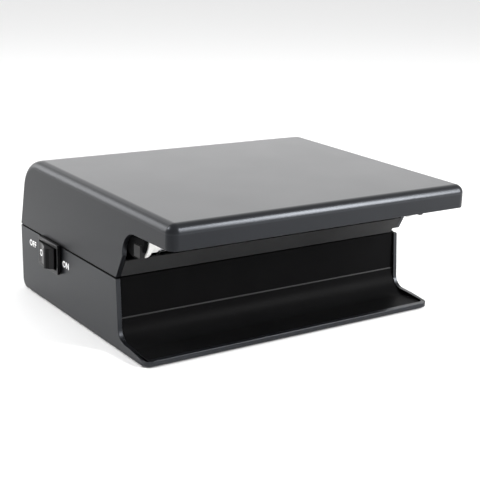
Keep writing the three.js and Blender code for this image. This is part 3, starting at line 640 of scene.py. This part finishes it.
def lower_shell(finishes):
    plan = rectangle(-INNER_X, INNER_X, WALL, BASE_DEPTH, FRONT_RADIUS - WALL)
    tray = joined(
        extrude(tray_inside(), "x", -INNER_X, INNER_X),
        extrude(plan, "z", 0, SEAM_Z + OVERCUT),
        "INTERSECT",
    )
    # The tray's inside takes the near unreflecting black as painted shade, and its ledge the lighter
    # black as a painted highlight along the crease.
    refinished(inner(tray), LIGHTENED, ledge_face)
    body = with_finishes(rounded_prism(lower_side), finishes)
    # The seam groove's flat faces take the near unreflecting black: painted shade in the groove.
    refinished(body, SHADED, seam_face)
    cut(body, tray)
    joined(body, inner(seam_tongue()))
    back = BASE_DEPTH - WALL - BASE_BACK_TUCK
    cut(body, inner(block(-INNER_X, INNER_X, BOX_FRONT_Y, back, FLOOR, SEAM_Z + OVERCUT)))
    for x, y in BOSSES:
        top = POST_BOTTOM_Z - CLEAR
        joined(body, inner(rod("z", (x, y, 0), BOSS_TUBE_RADIUS, FLOOR / 2, top)))
        cut(body, rod("z", (x, y, 0), HEAD_BORE, -OVERCUT, HEAD_SEAT_Z))
        cut(body, rod("z", (x, y, 0), SCREW_BORE, HEAD_SEAT_Z - OVERCUT, SEAM_Z))
    for x, y in FEET:
        cut(body, rod("z", (x, y, 0), FOOT_RADIUS + CLEAR, -OVERCUT, FOOT_RECESS))
    for x, y in BOARD_SCREWS:
        joined(body, inner(rod("z", (x, y, 0), STANDOFF_RADIUS, FLOOR / 2, BOARD_Z - CLEAR)))
        cut(body, inner(rod("z", (x, y, 0), BOARD_SCREW_BORE, FLOOR + OVERCUT, BOARD_Z)))
    cut(body, switch_opening())
    cut(body, inlet_opening())
    return body


def lid_z(y):
    """The height of the lid's top face, which rises towards the back."""
    return LID_FRONT_Z + LID_SLOPE * (LID_OVERHANG + y)


def back_top_corner(wall_inset, top_inset):
    wall_y = BASE_DEPTH - wall_inset + UPPER_Z * BACK_LEAN
    top_z = LID_FRONT_Z + LID_SLOPE * LID_OVERHANG - top_inset
    z = (top_z + LID_SLOPE * wall_y) / (1 + LID_SLOPE * BACK_LEAN)
    return wall_y - z * BACK_LEAN, z


def upper_side(inset):
    front = inset(FRONT_RADIUS)
    back = inset(BACK_RADIUS)
    top = inset(LID_RADIUS)
    return outline([
        (BASE_DEPTH - back, UPPER_Z),
        (*back_top_corner(back, top), BACK_TOP_RADIUS - top),
        (front - LID_OVERHANG, LID_FRONT_Z - top, LID_RADIUS - top),
        (front - LID_OVERHANG, LID_EDGE_Z),
        (NOTCH_Y, LID_EDGE_Z, NOTCH_RADIUS),
        (NOTCH_Y, NOTCH_Z),
        (BAY_WALL_Y, UPPER_Z),
    ])


def upper_inside():
    return outline([
        (BASE_DEPTH - WALL, UPPER_Z - OVERCUT),
        (BASE_DEPTH - WALL, UPPER_Z),
        (*back_top_corner(WALL, WALL), BACK_TOP_RADIUS - WALL),
        (WALL - LID_OVERHANG, LID_FRONT_Z - WALL, LID_RADIUS - WALL),
        (WALL - LID_OVERHANG, LID_EDGE_Z - OVERCUT),
        (NOTCH_Y - NOTCH_RADIUS, LID_EDGE_Z - OVERCUT),
        (NOTCH_Y - NOTCH_RADIUS, UPPER_Z - OVERCUT),
    ])


def lamp_wall():
    lean = (BAY_WALL_Y - NOTCH_Y) / (NOTCH_Z - UPPER_Z)
    top_y = BAY_WALL_Y - (LAMP_WALL_TOP_Z - UPPER_Z) * lean
    section = outline([
        (BAY_WALL_Y, UPPER_Z),
        (BAY_WALL_Y + LAMP_WALL, UPPER_Z),
        (top_y + LAMP_WALL, LAMP_WALL_TOP_Z),
        (top_y, LAMP_WALL_TOP_Z),
    ])
    return extrude(section, "x", -INNER_X - WALL / 2, INNER_X + WALL / 2)


def relief_notch():
    """A small relief in the foot of the right side wall, just over the seam."""
    section = outline([
        (NOTCH_Y, UPPER_Z - OVERCUT),
        (BAY_WALL_Y + RELIEF_DEPTH, UPPER_Z - OVERCUT),
        (BAY_WALL_Y + RELIEF_DEPTH, UPPER_Z + RELIEF_HEIGHT, RELIEF_RADIUS),
        (NOTCH_Y, UPPER_Z + RELIEF_HEIGHT),
    ])
    return extrude(section, "x", RELIEF_X, HALF_WIDTH + OVERCUT)


def upper_shell(finishes):
    body = with_finishes(rounded_prism(upper_side), finishes)
    # The seam groove's flat faces take the near unreflecting black: painted shade in the groove.
    refinished(body, SHADED, seam_face)
    # The upper half's upright faces take a less reflecting copy of the black: painted shade.
    refinished(body, DIMMED, upright_face)
    cut(body, inner(extrude(upper_inside(), "x", -INNER_X, INNER_X)))
    # The lamp wall takes the lighter black: painted light on it.
    joined(body, finished(lamp_wall(), LIGHTENED))
    for x, y in BOSSES:
        joined(body, inner(rod("z", (x, y, 0), POST_RADIUS, POST_BOTTOM_Z, lid_z(y) - WALL / 2)))
        low, high = POST_BOTTOM_Z - OVERCUT, POST_BOTTOM_Z + POST_BORE_DEPTH
        cut(body, inner(rod("z", (x, y, 0), SCREW_BORE, low, high)))
    return cut(body, relief_notch())


def casing_finishes():
    """The casing's black with its outer grain; a near unreflecting copy on the inner faces and a less
    reflecting one on the upper half's sides, both painted shade; a lighter one on the lamp wall,
    painted light.
    """
    outer_black = (0.0045, 0.0047, 0.0055)
    # The bluish tint of the casing's reflections is painted: it stands in for the bluish light that
    # falls on it.
    tint = (0.86, 0.91, 1, 1)
    textured = moulded_plastic(
        "casing_black", outer_black, 0.31, Specular_IOR_Level=0.35, Specular_Tint=tint
    )
    # A less reflecting copy for the upper half's sides: painted shade.
    painted_shade_sides = moulded_plastic(
        "casing_side_painted_shade", outer_black, 0.31, Specular_IOR_Level=0.25, Specular_Tint=tint
    )
    # A near unreflecting copy for the inside faces, the seam groove and the lamp brackets' plates:
    # painted shade.
    smooth = moulded_plastic(
        "casing_inner_painted_shade", (0.004, 0.004, 0.0042), 0.4, 0.8, 0.008, Specular_IOR_Level=0.01
    )
    # A lighter copy for the lamp wall and its ledge: painted light, and a painted highlight on the
    # ledge.
    painted_light_black = moulded_plastic(
        "casing_painted_light_black", (0.022, 0.022, 0.0225), 0.6, 0.4, 0.015, Specular_IOR_Level=0.15
    )
    return textured, smooth, painted_light_black, painted_shade_sides


def make_casing(finishes):
    textured = finishes[TEXTURED]
    lower = softened(lower_shell(finishes), 0.2)
    placed(lower, "casing_lower", "casing", textured, "casing", "lower_housing")
    upper = softened(upper_shell(finishes), 0.2)
    placed(upper, "casing_upper", "casing", textured, "casing", "upper_housing")


# ---------------------------------------------------------------- casing screws and feet


def casing_screw(x, y):
    """A screw that points up, with a domed edge on its head and a cross recess in it."""
    top = HEAD_SEAT_Z - CLEAR
    low = top - HEAD_HEIGHT
    dome = 0.7
    profile = [(0, low), (HEAD_RADIUS - dome, low), (HEAD_RADIUS, low + dome), (HEAD_RADIUS, top)]
    profile += [(SHANK_RADIUS, top), (SHANK_RADIUS, SHANK_TIP_Z - 1)]
    profile += [(0.5, SHANK_TIP_Z), (0, SHANK_TIP_Z)]
    body = turned(profile, "z", (x, y, 0), 48)
    arm, half_slot, recess_top = 1.9, 0.35, top - 0.9
    for half_x, half_y in ((arm, half_slot), (half_slot, arm)):
        slot = block(x - half_x, x + half_x, y - half_y, y + half_y, low - OVERCUT, recess_top)
        cut(body, slot)
    return softened(body, 0.12, 2)


def make_screws():
    steel = plated_metal("zinc_steel", (0.55, 0.56, 0.58), 0.32)
    for name, (x, y) in zip(CORNERS, BOSSES):
        body = casing_screw(x, y)
        placed(body, f"screw_{name}", "casing", steel, "screw_steel", f"housing_screw_{name}")


def make_feet():
    rubber = Shader("foot_rubber", (0.012, 0.012, 0.012), 0.75)
    rubber.roughness(rubber.spread(rubber.noise(2, 3), 0.62, 0.85))
    rubber.bump(rubber.noise(0.25, 3), 0.03)
    low, top = -FOOT_DROP, FOOT_RECESS - CLEAR
    hollow, hollow_radius, rim = low + 0.15, 3.4, 3.8
    profile = [(0, hollow), (hollow_radius, hollow), (rim, low), (FOOT_RADIUS, low)]
    profile += [(FOOT_RADIUS, top), (0, top)]
    for name, (x, y) in zip(CORNERS, FEET):
        body = softened(turned(profile, "z", (x, y, 0), 96), 0.2)
        placed(body, f"rubber_{name}", "casing", rubber.material, "rubber", f"foot_{name}")


# ---------------------------------------------------------------- lamp and its holders

def mirrored(body, sign):
    """A body made for the right-hand end, or its mirror image for the left."""
    if sign < 0:
        body.data.transform(Matrix.Scale(-1, 4, (1, 0, 0)))
        body.data.flip_normals()
    return body


def hanging_round(radius):
    """A plate's outline in (y, z) with a flat top and a half-round bottom about the lamp's axis."""
    low = LAMP_Z - radius
    return outline([
        (LAMP_Y - radius, HOLDER_TOP_Z),
        (LAMP_Y - radius, low, radius - SLIVER),
        (LAMP_Y + radius, low, radius - SLIVER),
        (LAMP_Y + radius, HOLDER_TOP_Z),
    ])


def lamp_holder():
    body = extrude(hanging_round(LAMP_RADIUS), "x", HOLDER_X, HOLDER_END_X)
    flange = hanging_round(HOLDER_FLANGE_RADIUS)
    joined(body, extrude(flange, "x", HOLDER_FLANGE_X, HOLDER_END_X))
    start, end = HOLDER_X - OVERCUT, ROTOR_END_X + CLEAR
    return cut(body, rod("x", LAMP_AXIS, ROTOR_RADIUS + CLEAR, start, end))


def lamp_bracket():
    start, end = HOLDER_END_X + CLEAR, INNER_X - CLEAR
    # The bracket's plate takes the casing's near unreflecting black as painted shade; its stud keeps
    # its own black.
    body = finished(extrude(hanging_round(BRACKET_RADIUS), "x", start, end), SHADED)
    front, back = STUD_Y - STUD_SIZE / 2, STUD_Y + STUD_SIZE / 2
    high = STUD_LOW_Z + STUD_SIZE
    stud = block(end - STUD_REACH, end + STUD_REACH, front, back, STUD_LOW_Z, high)
    return joined(body, finished(stud, TEXTURED))


def lamp_rotor():
    body = rod("x", LAMP_AXIS, ROTOR_RADIUS, HOLDER_X, ROTOR_END_X)
    start, end = HOLDER_X - OVERCUT, ROTOR_END_X + OVERCUT
    for offset in (-PIN_OFFSET, PIN_OFFSET):
        cut(body, rod("x", (0, LAMP_Y + offset, LAMP_Z), ROTOR_PIN_BORE, start, end, 32))
    return body


def lamp_tube():
    """A glass tube with rounded shoulders, where it narrows into its caps."""
    end = LAMP_FACE_X - CAP_LENGTH - CLEAR
    radius = LAMP_RADIUS - 0.1
    inside, neck, shoulder = radius - 0.8, radius - 0.3, end - 0.6
    profile = [(inside, -end), (neck, -end), (radius, -shoulder)]
    profile += [(radius, shoulder), (neck, end), (inside, end)]
    return turned(profile, "x", LAMP_AXIS, 128)


def lamp_cap():
    """An end cap with a rolled rim, a crimped groove and a chamfered face."""
    start = LAMP_FACE_X - CAP_LENGTH
    rim, groove, chamfer = LAMP_RADIUS, LAMP_RADIUS - 0.3, 0.6
    dish_radius, dish = 5, 0.2
    profile = [(0, start), (rim, start), (rim, start + 0.9), (groove, start + 1.3)]
    profile += [(groove, start + 2), (rim, start + 2.4), (rim, LAMP_FACE_X - chamfer)]
    profile += [(rim - chamfer, LAMP_FACE_X), (dish_radius + dish, LAMP_FACE_X)]
    profile += [(dish_radius, LAMP_FACE_X - dish), (0, LAMP_FACE_X - dish)]
    return turned(profile, "x", LAMP_AXIS, 128)


def lamp_pin(offset):
    start, shoulder = LAMP_FACE_X + CLEAR, PIN_END_X - 0.5
    profile = [(0, start), (PIN_RADIUS, start), (PIN_RADIUS, shoulder)]
    profile += [(PIN_RADIUS - 0.4, PIN_END_X), (0, PIN_END_X)]
    return turned(profile, "x", (0, LAMP_Y + offset, LAMP_Z), 32)


def lamp_glass():
    """White phosphor with a faint mottle under clear, smooth glass."""
    shader = Shader("lamp_white", (0.86, 0.87, 0.9), 0.3, Coat_Weight=0.8, Coat_Roughness=0.04)
    mottle = shader.noise(1.5, 4)
    shader.color(shader.blend(shader.spread(mottle, 0, 1), (0.82, 0.83, 0.87), (0.88, 0.89, 0.91)))
    shader.roughness(shader.spread(mottle, 0.28, 0.4))
    return shader.material


# smooth is the casing's near unreflecting black: painted shade on the brackets' plates.
def make_lamp(smooth):
    white = moulded_plastic("holder_white", (0.74, 0.74, 0.72), 0.32, 0.6, 0.006)
    black = moulded_plastic(
        "holder_black", (0.009, 0.009, 0.009), 0.45, 0.5, Specular_IOR_Level=0.18
    )
    aluminium = plated_metal("cap_aluminium", (0.8, 0.81, 0.83), 0.28)
    brass = plated_metal("pin_brass", (0.75, 0.55, 0.24), 0.25)
    tube = softened(lamp_tube(), 0.15)
    placed(tube, "lamp_glass", "lamp", lamp_glass(), "lamp_glass", "lamp_tube")
    for side, sign in SIDES.items():
        bracket = with_finishes(lamp_bracket(), (black, smooth))
        ends = [
            (lamp_cap(), "cap", "lamp", aluminium, "cap_aluminium", f"lamp_cap_{side}"),
            (lamp_rotor(), "rotor", "lamp", white, "holder_white", f"lamp_rotor_{side}"),
            (lamp_holder(), "holder", "casing", white, "holder_white", f"lamp_holder_{side}"),
            (bracket, "bracket", "casing", black, "holder_black", f"lamp_bracket_{side}"),
            (lamp_pin(-PIN_OFFSET), "pin_a", "lamp", brass, "brass", f"lamp_pin_{side}_a"),
            (lamp_pin(PIN_OFFSET), "pin_b", "lamp", brass, "brass", f"lamp_pin_{side}_b"),
        ]
        for body, name, rides_on, material, slot, node in ends:
            softened(mirrored(body, sign), 0.2)
            placed(body, f"{name}_{side}", rides_on, material, slot, node)


# ---------------------------------------------------------------- rocker switch


def centred(half_length, half_height, radius=None):
    return rectangle(
        SWITCH_Y - half_length, SWITCH_Y + half_length,
        SWITCH_Z - half_height, SWITCH_Z + half_height, radius,
    )


def switch_opening():
    """The opening in the side wall, which runs up to the seam."""
    half_length, half_height = (half + CLEAR for half in SWITCH_BODY_HALF)
    front, back = SWITCH_Y - half_length, SWITCH_Y + half_length
    low, high = SWITCH_Z - half_height, SEAM_Z + OVERCUT
    return block(-HALF_WIDTH - OVERCUT, -INNER_X + OVERCUT, front, back, low, high)


def switch_frame():
    bezel_x = -HALF_WIDTH - BEZEL_PROUD
    back_x = -HALF_WIDTH + SWITCH_BODY_DEPTH
    body = extrude(centred(*BEZEL_HALF, BEZEL_CORNER), "x", bezel_x, -HALF_WIDTH - CLEAR)
    joined(body, extrude(centred(*SWITCH_BODY_HALF), "x", -HALF_WIDTH - BEZEL_PROUD / 2, back_x))
    pocket = extrude(centred(*POCKET_HALF), "x", bezel_x - OVERCUT, back_x - SWITCH_BODY_FLOOR)
    cut(body, pocket)
    pivot = (PIVOT_X, SWITCH_Y, 0)
    reach = BEZEL_HALF[1] + OVERCUT
    bore = rod("z", pivot, TRUNNION_RADIUS + 0.2, SWITCH_Z - reach, SWITCH_Z + reach, 32)
    return cut(body, bore)


ROCKER_RADIUS = 9.3  # of the arc that the rocker's ends lie on, about its pivot
ROCKER_SKIRT = 2.4  # distances out from the pivot: skirt, tips and the valley between them
ROCKER_TIP = 6.9
ROCKER_VALLEY = 5.94
ROCKER_DISH = 0.35
ROCKER_REACH = math.sqrt(ROCKER_RADIUS**2 - ROCKER_TIP**2)  # half its length, at its tips
ROCKER_BACK = (6, 0.5)  # half length and distance of its back face
ROCKER_LOW_Z = SWITCH_Z - 4.8
ROCKER_HIGH_Z = SWITCH_Z + 5
ROCKER_HUB_RADIUS = 2
TRUNNION_RADIUS = 1.1
TRUNNION_LENGTH = 0.9
TO_ROCKER = (
    Matrix.Translation((PIVOT_X, SWITCH_Y, 0))
    @ Matrix.Rotation(math.pi / 2 - ROCKER_HALF_THROW, 4, "Z")
)


def rocker_section():
    """The rocker from above, as (along its length, out from its pivot), at mid-throw."""
    end_steps, dish_steps = 6, 12
    rise = (ROCKER_TIP - ROCKER_SKIRT) / end_steps
    skirt = [ROCKER_SKIRT + rise * k for k in range(end_steps + 1)]
    end = [(math.sqrt(ROCKER_RADIUS**2 - height**2), height) for height in skirt]
    tip = end[-1][0]
    dish = []
    for k in range(1, dish_steps):
        share = 1 - k / dish_steps
        straight = ROCKER_VALLEY + (ROCKER_TIP - ROCKER_VALLEY) * share
        dish.append((tip * share, straight - ROCKER_DISH * math.sin(math.pi * share)))
    half = end + dish
    other = [(-along, height) for along, height in reversed(half)]
    back_half, back = ROCKER_BACK
    return [(-back_half, back), (back_half, back), *half, (0, ROCKER_VALLEY), *other]


def rocker():
    body = extrude(rocker_section(), "z", ROCKER_LOW_Z, ROCKER_HIGH_Z)
    low, high = ROCKER_LOW_Z - TRUNNION_LENGTH, ROCKER_HIGH_Z + TRUNNION_LENGTH
    joined(body, rod("z", (0, 0, 0), TRUNNION_RADIUS, low, high, 32))
    joined(body, rod("z", (0, 0, 0), ROCKER_HUB_RADIUS, ROCKER_LOW_Z, ROCKER_HIGH_Z, 32))
    body.data.transform(TO_ROCKER)
    return body


FONT_SIZE = 1.37  # for capitals of height 1
STROKE_GAIN = 0.03  # for capitals of height 1
PRINT_PROUD = 0.06
LETTER_SPACING = 1.12
LEGENDS = (("off", "OFF", 113.2, 24.9), ("on", "ON", 75.9, 23.9))  # name, text, y, z
LEGEND_HEIGHT = 3
ROCKER_MARK_HEIGHT = 3.2
ROCKER_MARK_REACH = 3.3  # from the rocker's valley
ROCKER_MARK_SINK = 0.3  # below the straight line over the dish of its face


def lettering(text, height, basis):
    """Plain raised print: capitals of a height, a little proud of the plane of a basis."""
    curve = bpy.data.curves.new("print", "FONT")
    curve.body = text
    curve.size = FONT_SIZE * height
    curve.extrude = PRINT_PROUD
    curve.offset = STROKE_GAIN * height
    curve.space_character = LETTER_SPACING
    curve.resolution_u = 6
    curve.align_x = "CENTER"
    curve.align_y = "CENTER"
    thing = bpy.data.objects.new("print", curve)
    bpy.context.scene.collection.objects.link(thing)
    data = bpy.data.meshes.new_from_object(
        thing.evaluated_get(bpy.context.evaluated_depsgraph_get())
    )
    bpy.data.objects.remove(thing)
    data.transform(basis)
    body = bpy.data.objects.new("print", data)
    bpy.context.scene.collection.objects.link(body)
    return body


def facing(place, right, up):
    """The basis of a plane at a place, from its reading direction and its upright one."""
    right, up = Vector(right), Vector(up)
    turn = Matrix((right, up, right.cross(up))).transposed().to_4x4()
    return Matrix.Translation(place) @ turn


def make_marks():
    paint = Shader("mark_white", (0.95, 0.95, 0.95), 0.5)
    paint.bump(paint.noise(0.2, 2), 0.01)
    for name, text, y, z in LEGENDS:
        basis = facing((-HALF_WIDTH, y, z), (0, -1, 0), (0, 0, 1))
        body = lettering(text, LEGEND_HEIGHT, basis)
        placed(body, f"mark_{name}", "casing", paint.material, "holder_white")
    slope = math.atan2(ROCKER_TIP - ROCKER_VALLEY, ROCKER_REACH)
    for name, text, side in (("o", "O", 1), ("i", "I", -1)):
        along = Vector((side * math.cos(slope), math.sin(slope), 0))
        face = Vector((0, ROCKER_VALLEY, SWITCH_Z)) + ROCKER_MARK_REACH * along
        reading = Vector((-math.cos(slope), -side * math.sin(slope), 0))
        out = reading.cross(Vector((0, 0, 1)))
        basis = TO_ROCKER @ facing(face - ROCKER_MARK_SINK * out, reading, (0, 0, 1))
        body = lettering(text, ROCKER_MARK_HEIGHT, basis)
        placed(body, f"mark_rocker_{name}", "rocker", paint.material, "holder_white")


# The rocker switch's face finish, then two less reflecting copies of it, which are painted shade: one
# on the faces that don't look out of the casing, one on the rocker's ends.
FACE, SHADE_SIDES, SHADE_ENDS = range(3)


def side_face(normal, _):
    """Every face but those that look straight out of the casing's side: they take the darkest black,
    which is painted shade.
    """
    return normal.x > -0.8


def end_face(normal, centre):
    """The rocker's end faces, which lie within the frame's pocket: they take a less reflecting black,
    which is painted shade.
    """
    return abs(normal.y) > 0.7 and abs(centre.y - SWITCH_Y) < POCKET_HALF[0] - CLEAR / 4


def make_switch():
    black = moulded_plastic(
        "switch_black", (0.006, 0.006, 0.0065), 0.28, 0.5, 0.006, Specular_IOR_Level=0.36
    )
    # Darkest black for the faces that don't look out: painted shade.
    dark = moulded_plastic(
        "switch_painted_shade_black", (0.004, 0.004, 0.0042), 0.35, 0.5, 0.006, Specular_IOR_Level=0.08
    )
    # A less reflecting black for the rocker's ends: painted shade.
    end = moulded_plastic(
        "switch_end_painted_shade", (0.006, 0.006, 0.0065), 0.35, 0.5, 0.006, Specular_IOR_Level=0.17
    )
    finishes = (black, dark, end)
    for body, name, rides_on, node in (
        (switch_frame(), "switch_bezel", "casing", "switch_frame"),
        (rocker(), "rocker_button", "rocker", "switch_rocker"),
    ):
        with_finishes(body, finishes)
        refinished(body, SHADE_SIDES, side_face)
        refinished(body, SHADE_ENDS, end_face)
        softened(body, 0.25)
        placed(body, name, rides_on, finishes[FACE], "switch_plastic", node)
    make_marks()


# ---------------------------------------------------------------- mains inlet


def inlet_section(half_length, half_height):
    return rectangle(
        INLET_Z - half_height, INLET_Z + half_height,
        INLET_X - half_length, INLET_X + half_length, half_height - SLIVER,
    )


def inlet_opening():
    section = inlet_section(*(half + CLEAR for half in INLET_BODY_HALF))
    inside = BASE_DEPTH - WALL - BASE_BACK_TUCK
    return extrude(section, "y", inside - OVERCUT, BASE_DEPTH + OVERCUT)


def inlet_body(back, floor):
    """A flanged body that reaches in to y = back, with a socket in it as deep as y = floor."""
    flange_y = INLET_FACE_Y - INLET_FLANGE_DEPTH
    body = extrude(inlet_section(*INLET_FLANGE_HALF), "y", flange_y, INLET_FACE_Y)
    inside_flange = flange_y + INLET_FLANGE_DEPTH / 2
    joined(body, extrude(inlet_section(*INLET_BODY_HALF), "y", back, inside_flange))
    return cut(body, extrude(inlet_section(*INLET_SOCKET_HALF), "y", floor, INLET_FACE_Y + OVERCUT))


def inlet_pin(x, start):
    radius, end = INLET_PIN_RADIUS, start + INLET_PIN_LENGTH
    profile = [(0, start), (radius, start), (radius, end - 0.9), (radius - 0.3, end - 0.3)]
    profile += [(radius - 0.8, end), (0, end)]
    return turned(profile, "y", (x, 0, INLET_Z), 48)


def make_inlet():
    black = moulded_plastic("inlet_black", (0.008, 0.008, 0.009), 0.38, 0.5)
    nickel = plated_metal("inlet_nickel", (0.7, 0.69, 0.66), 0.2)
    back = INLET_FACE_Y - INLET_DEPTH
    floor = back + INLET_FLOOR
    body = softened(inlet_body(back, floor), 0.25)
    placed(body, "inlet", "casing", black, "inlet_plastic", "inlet_body")
    for side, sign in SIDES.items():
        pin = softened(inlet_pin(INLET_X + INLET_PIN_OFFSET * sign, floor + CLEAR), 0.1)
        placed(pin, f"contact_{side}", "casing", nickel, "pin_metal", f"inlet_pin_{side}")


# ---------------------------------------------------------------- pieces kept from the frame


KEPT_EDGE = 0.15
KEPT_SHARP_ANGLE = math.radians(40)


def dressed(node, material):
    """A CAD node with its own material, and small rounded edges from modifiers."""
    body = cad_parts[node]
    body.data.materials.clear()
    body.data.materials.append(material)
    body.data.polygons.foreach_set("use_smooth", [True] * len(body.data.polygons))
    weld = body.modifiers.new("weld", "WELD")
    weld.merge_threshold = WELDED * MM
    flat = body.modifiers.new("flat", "DECIMATE")
    flat.decimate_type = "DISSOLVE"
    flat.angle_limit = FLAT_ANGLE
    bevel = body.modifiers.new("edges", "BEVEL")
    bevel.width = KEPT_EDGE * MM
    bevel.segments = 2
    bevel.limit_method = "ANGLE"
    bevel.angle_limit = KEPT_SHARP_ANGLE
    bevel.use_clamp_overlap = True
    body.modifiers.new("shading", "WEIGHTED_NORMAL")


def board_green():
    """Green lacquer over glass weave, with paler copper lands under it."""
    shader = Shader("board_green", (0.02, 0.1, 0.045), 0.35)
    lands = shader.spread(shader.noise(4, 1), 0, 1, 0.55, 0.57)
    shader.color(shader.blend(lands, (0.018, 0.085, 0.038), (0.03, 0.17, 0.07)))
    shader.bump(lands, 0.03)
    shader.bump(shader.noise(0.4, 2), 0.005)
    return shader.material


def copper_winding():
    """Enamelled wire in turns side by side along the coil."""
    shader = Shader("winding_copper", (0.55, 0.2, 0.06), 0.3, 0.9)
    wave = shader.tree.nodes.new("ShaderNodeTexWave")
    wave.inputs["Scale"].default_value = 1 / (2.2 * MM)
    shader.link(shader.place, wave, "Vector")
    shader.color(shader.blend(wave.outputs["Fac"], (0.3, 0.09, 0.02), (0.65, 0.26, 0.08)))
    shader.bump(wave.outputs["Fac"], 0.15)
    return shader.material


def fuse_glass():
    """Clear glass, smooth and a little uneven."""
    shader = Shader("fuse_glass", (0.85, 0.9, 0.9), 0.08, Transmission_Weight=0.85)
    shader.roughness(shader.spread(shader.noise(2, 2), 0.05, 0.12))
    return shader.material


def wire_sleeve(name, color):
    shader = Shader(name, color, 0.45)
    shader.roughness(shader.spread(shader.noise(3, 2), 0.38, 0.55))
    shader.bump(shader.noise(0.6, 2), 0.01)
    return shader.material


def make_inner_pieces():
    brass = plated_metal("terminal_brass", (0.72, 0.53, 0.23), 0.3)
    steel = plated_metal("board_screw_steel", (0.55, 0.56, 0.58), 0.32)
    resin = moulded_plastic("resin_black", (0.02, 0.02, 0.02), 0.5, 0.3, 0.01)
    brown = wire_sleeve("sleeve_brown", (0.09, 0.035, 0.015))
    white = wire_sleeve("sleeve_white", (0.7, 0.7, 0.67))
    sleeve_blue = moulded_plastic("can_sleeve_blue", (0.02, 0.05, 0.17), 0.3, 0.6, 0.004)
    finishes = {
        "reflector": moulded_plastic("reflector_white", (0.8, 0.81, 0.82), 0.3, 0.8, 0.004),
        "switch_terminal_front": brass,
        "switch_terminal_back": brass,
        "circuit_board": board_green(),
        "board_screw_left": steel,
        "board_screw_right": steel,
        "choke_core": moulded_plastic("ferrite_grey", (0.035, 0.035, 0.037), 0.6, 0.5, 0.02),
        "choke_winding": copper_winding(),
        "reservoir_capacitor": sleeve_blue,
        "film_capacitor": moulded_plastic("film_red", (0.26, 0.02, 0.015), 0.25, 2.5, 0.02),
        "transistor_left": resin,
        "transistor_right": resin,
        "fuse": fuse_glass(),
        "wire_inlet_to_switch": brown,
        "wire_switch_to_board": brown,
        "wire_inlet_to_board": wire_sleeve("sleeve_blue", (0.02, 0.06, 0.28)),
        "wire_lamp_left": white,
        "wire_lamp_right": white,
    }
    for node, material in finishes.items():
        dressed(node, material)


# ---------------------------------------------------------------- the scene

make_camera()
make_studio()
casing_materials = casing_finishes()
make_casing(casing_materials)
make_screws()
make_feet()
make_lamp(casing_materials[SHADED])
make_switch()
make_inlet()
make_inner_pieces()
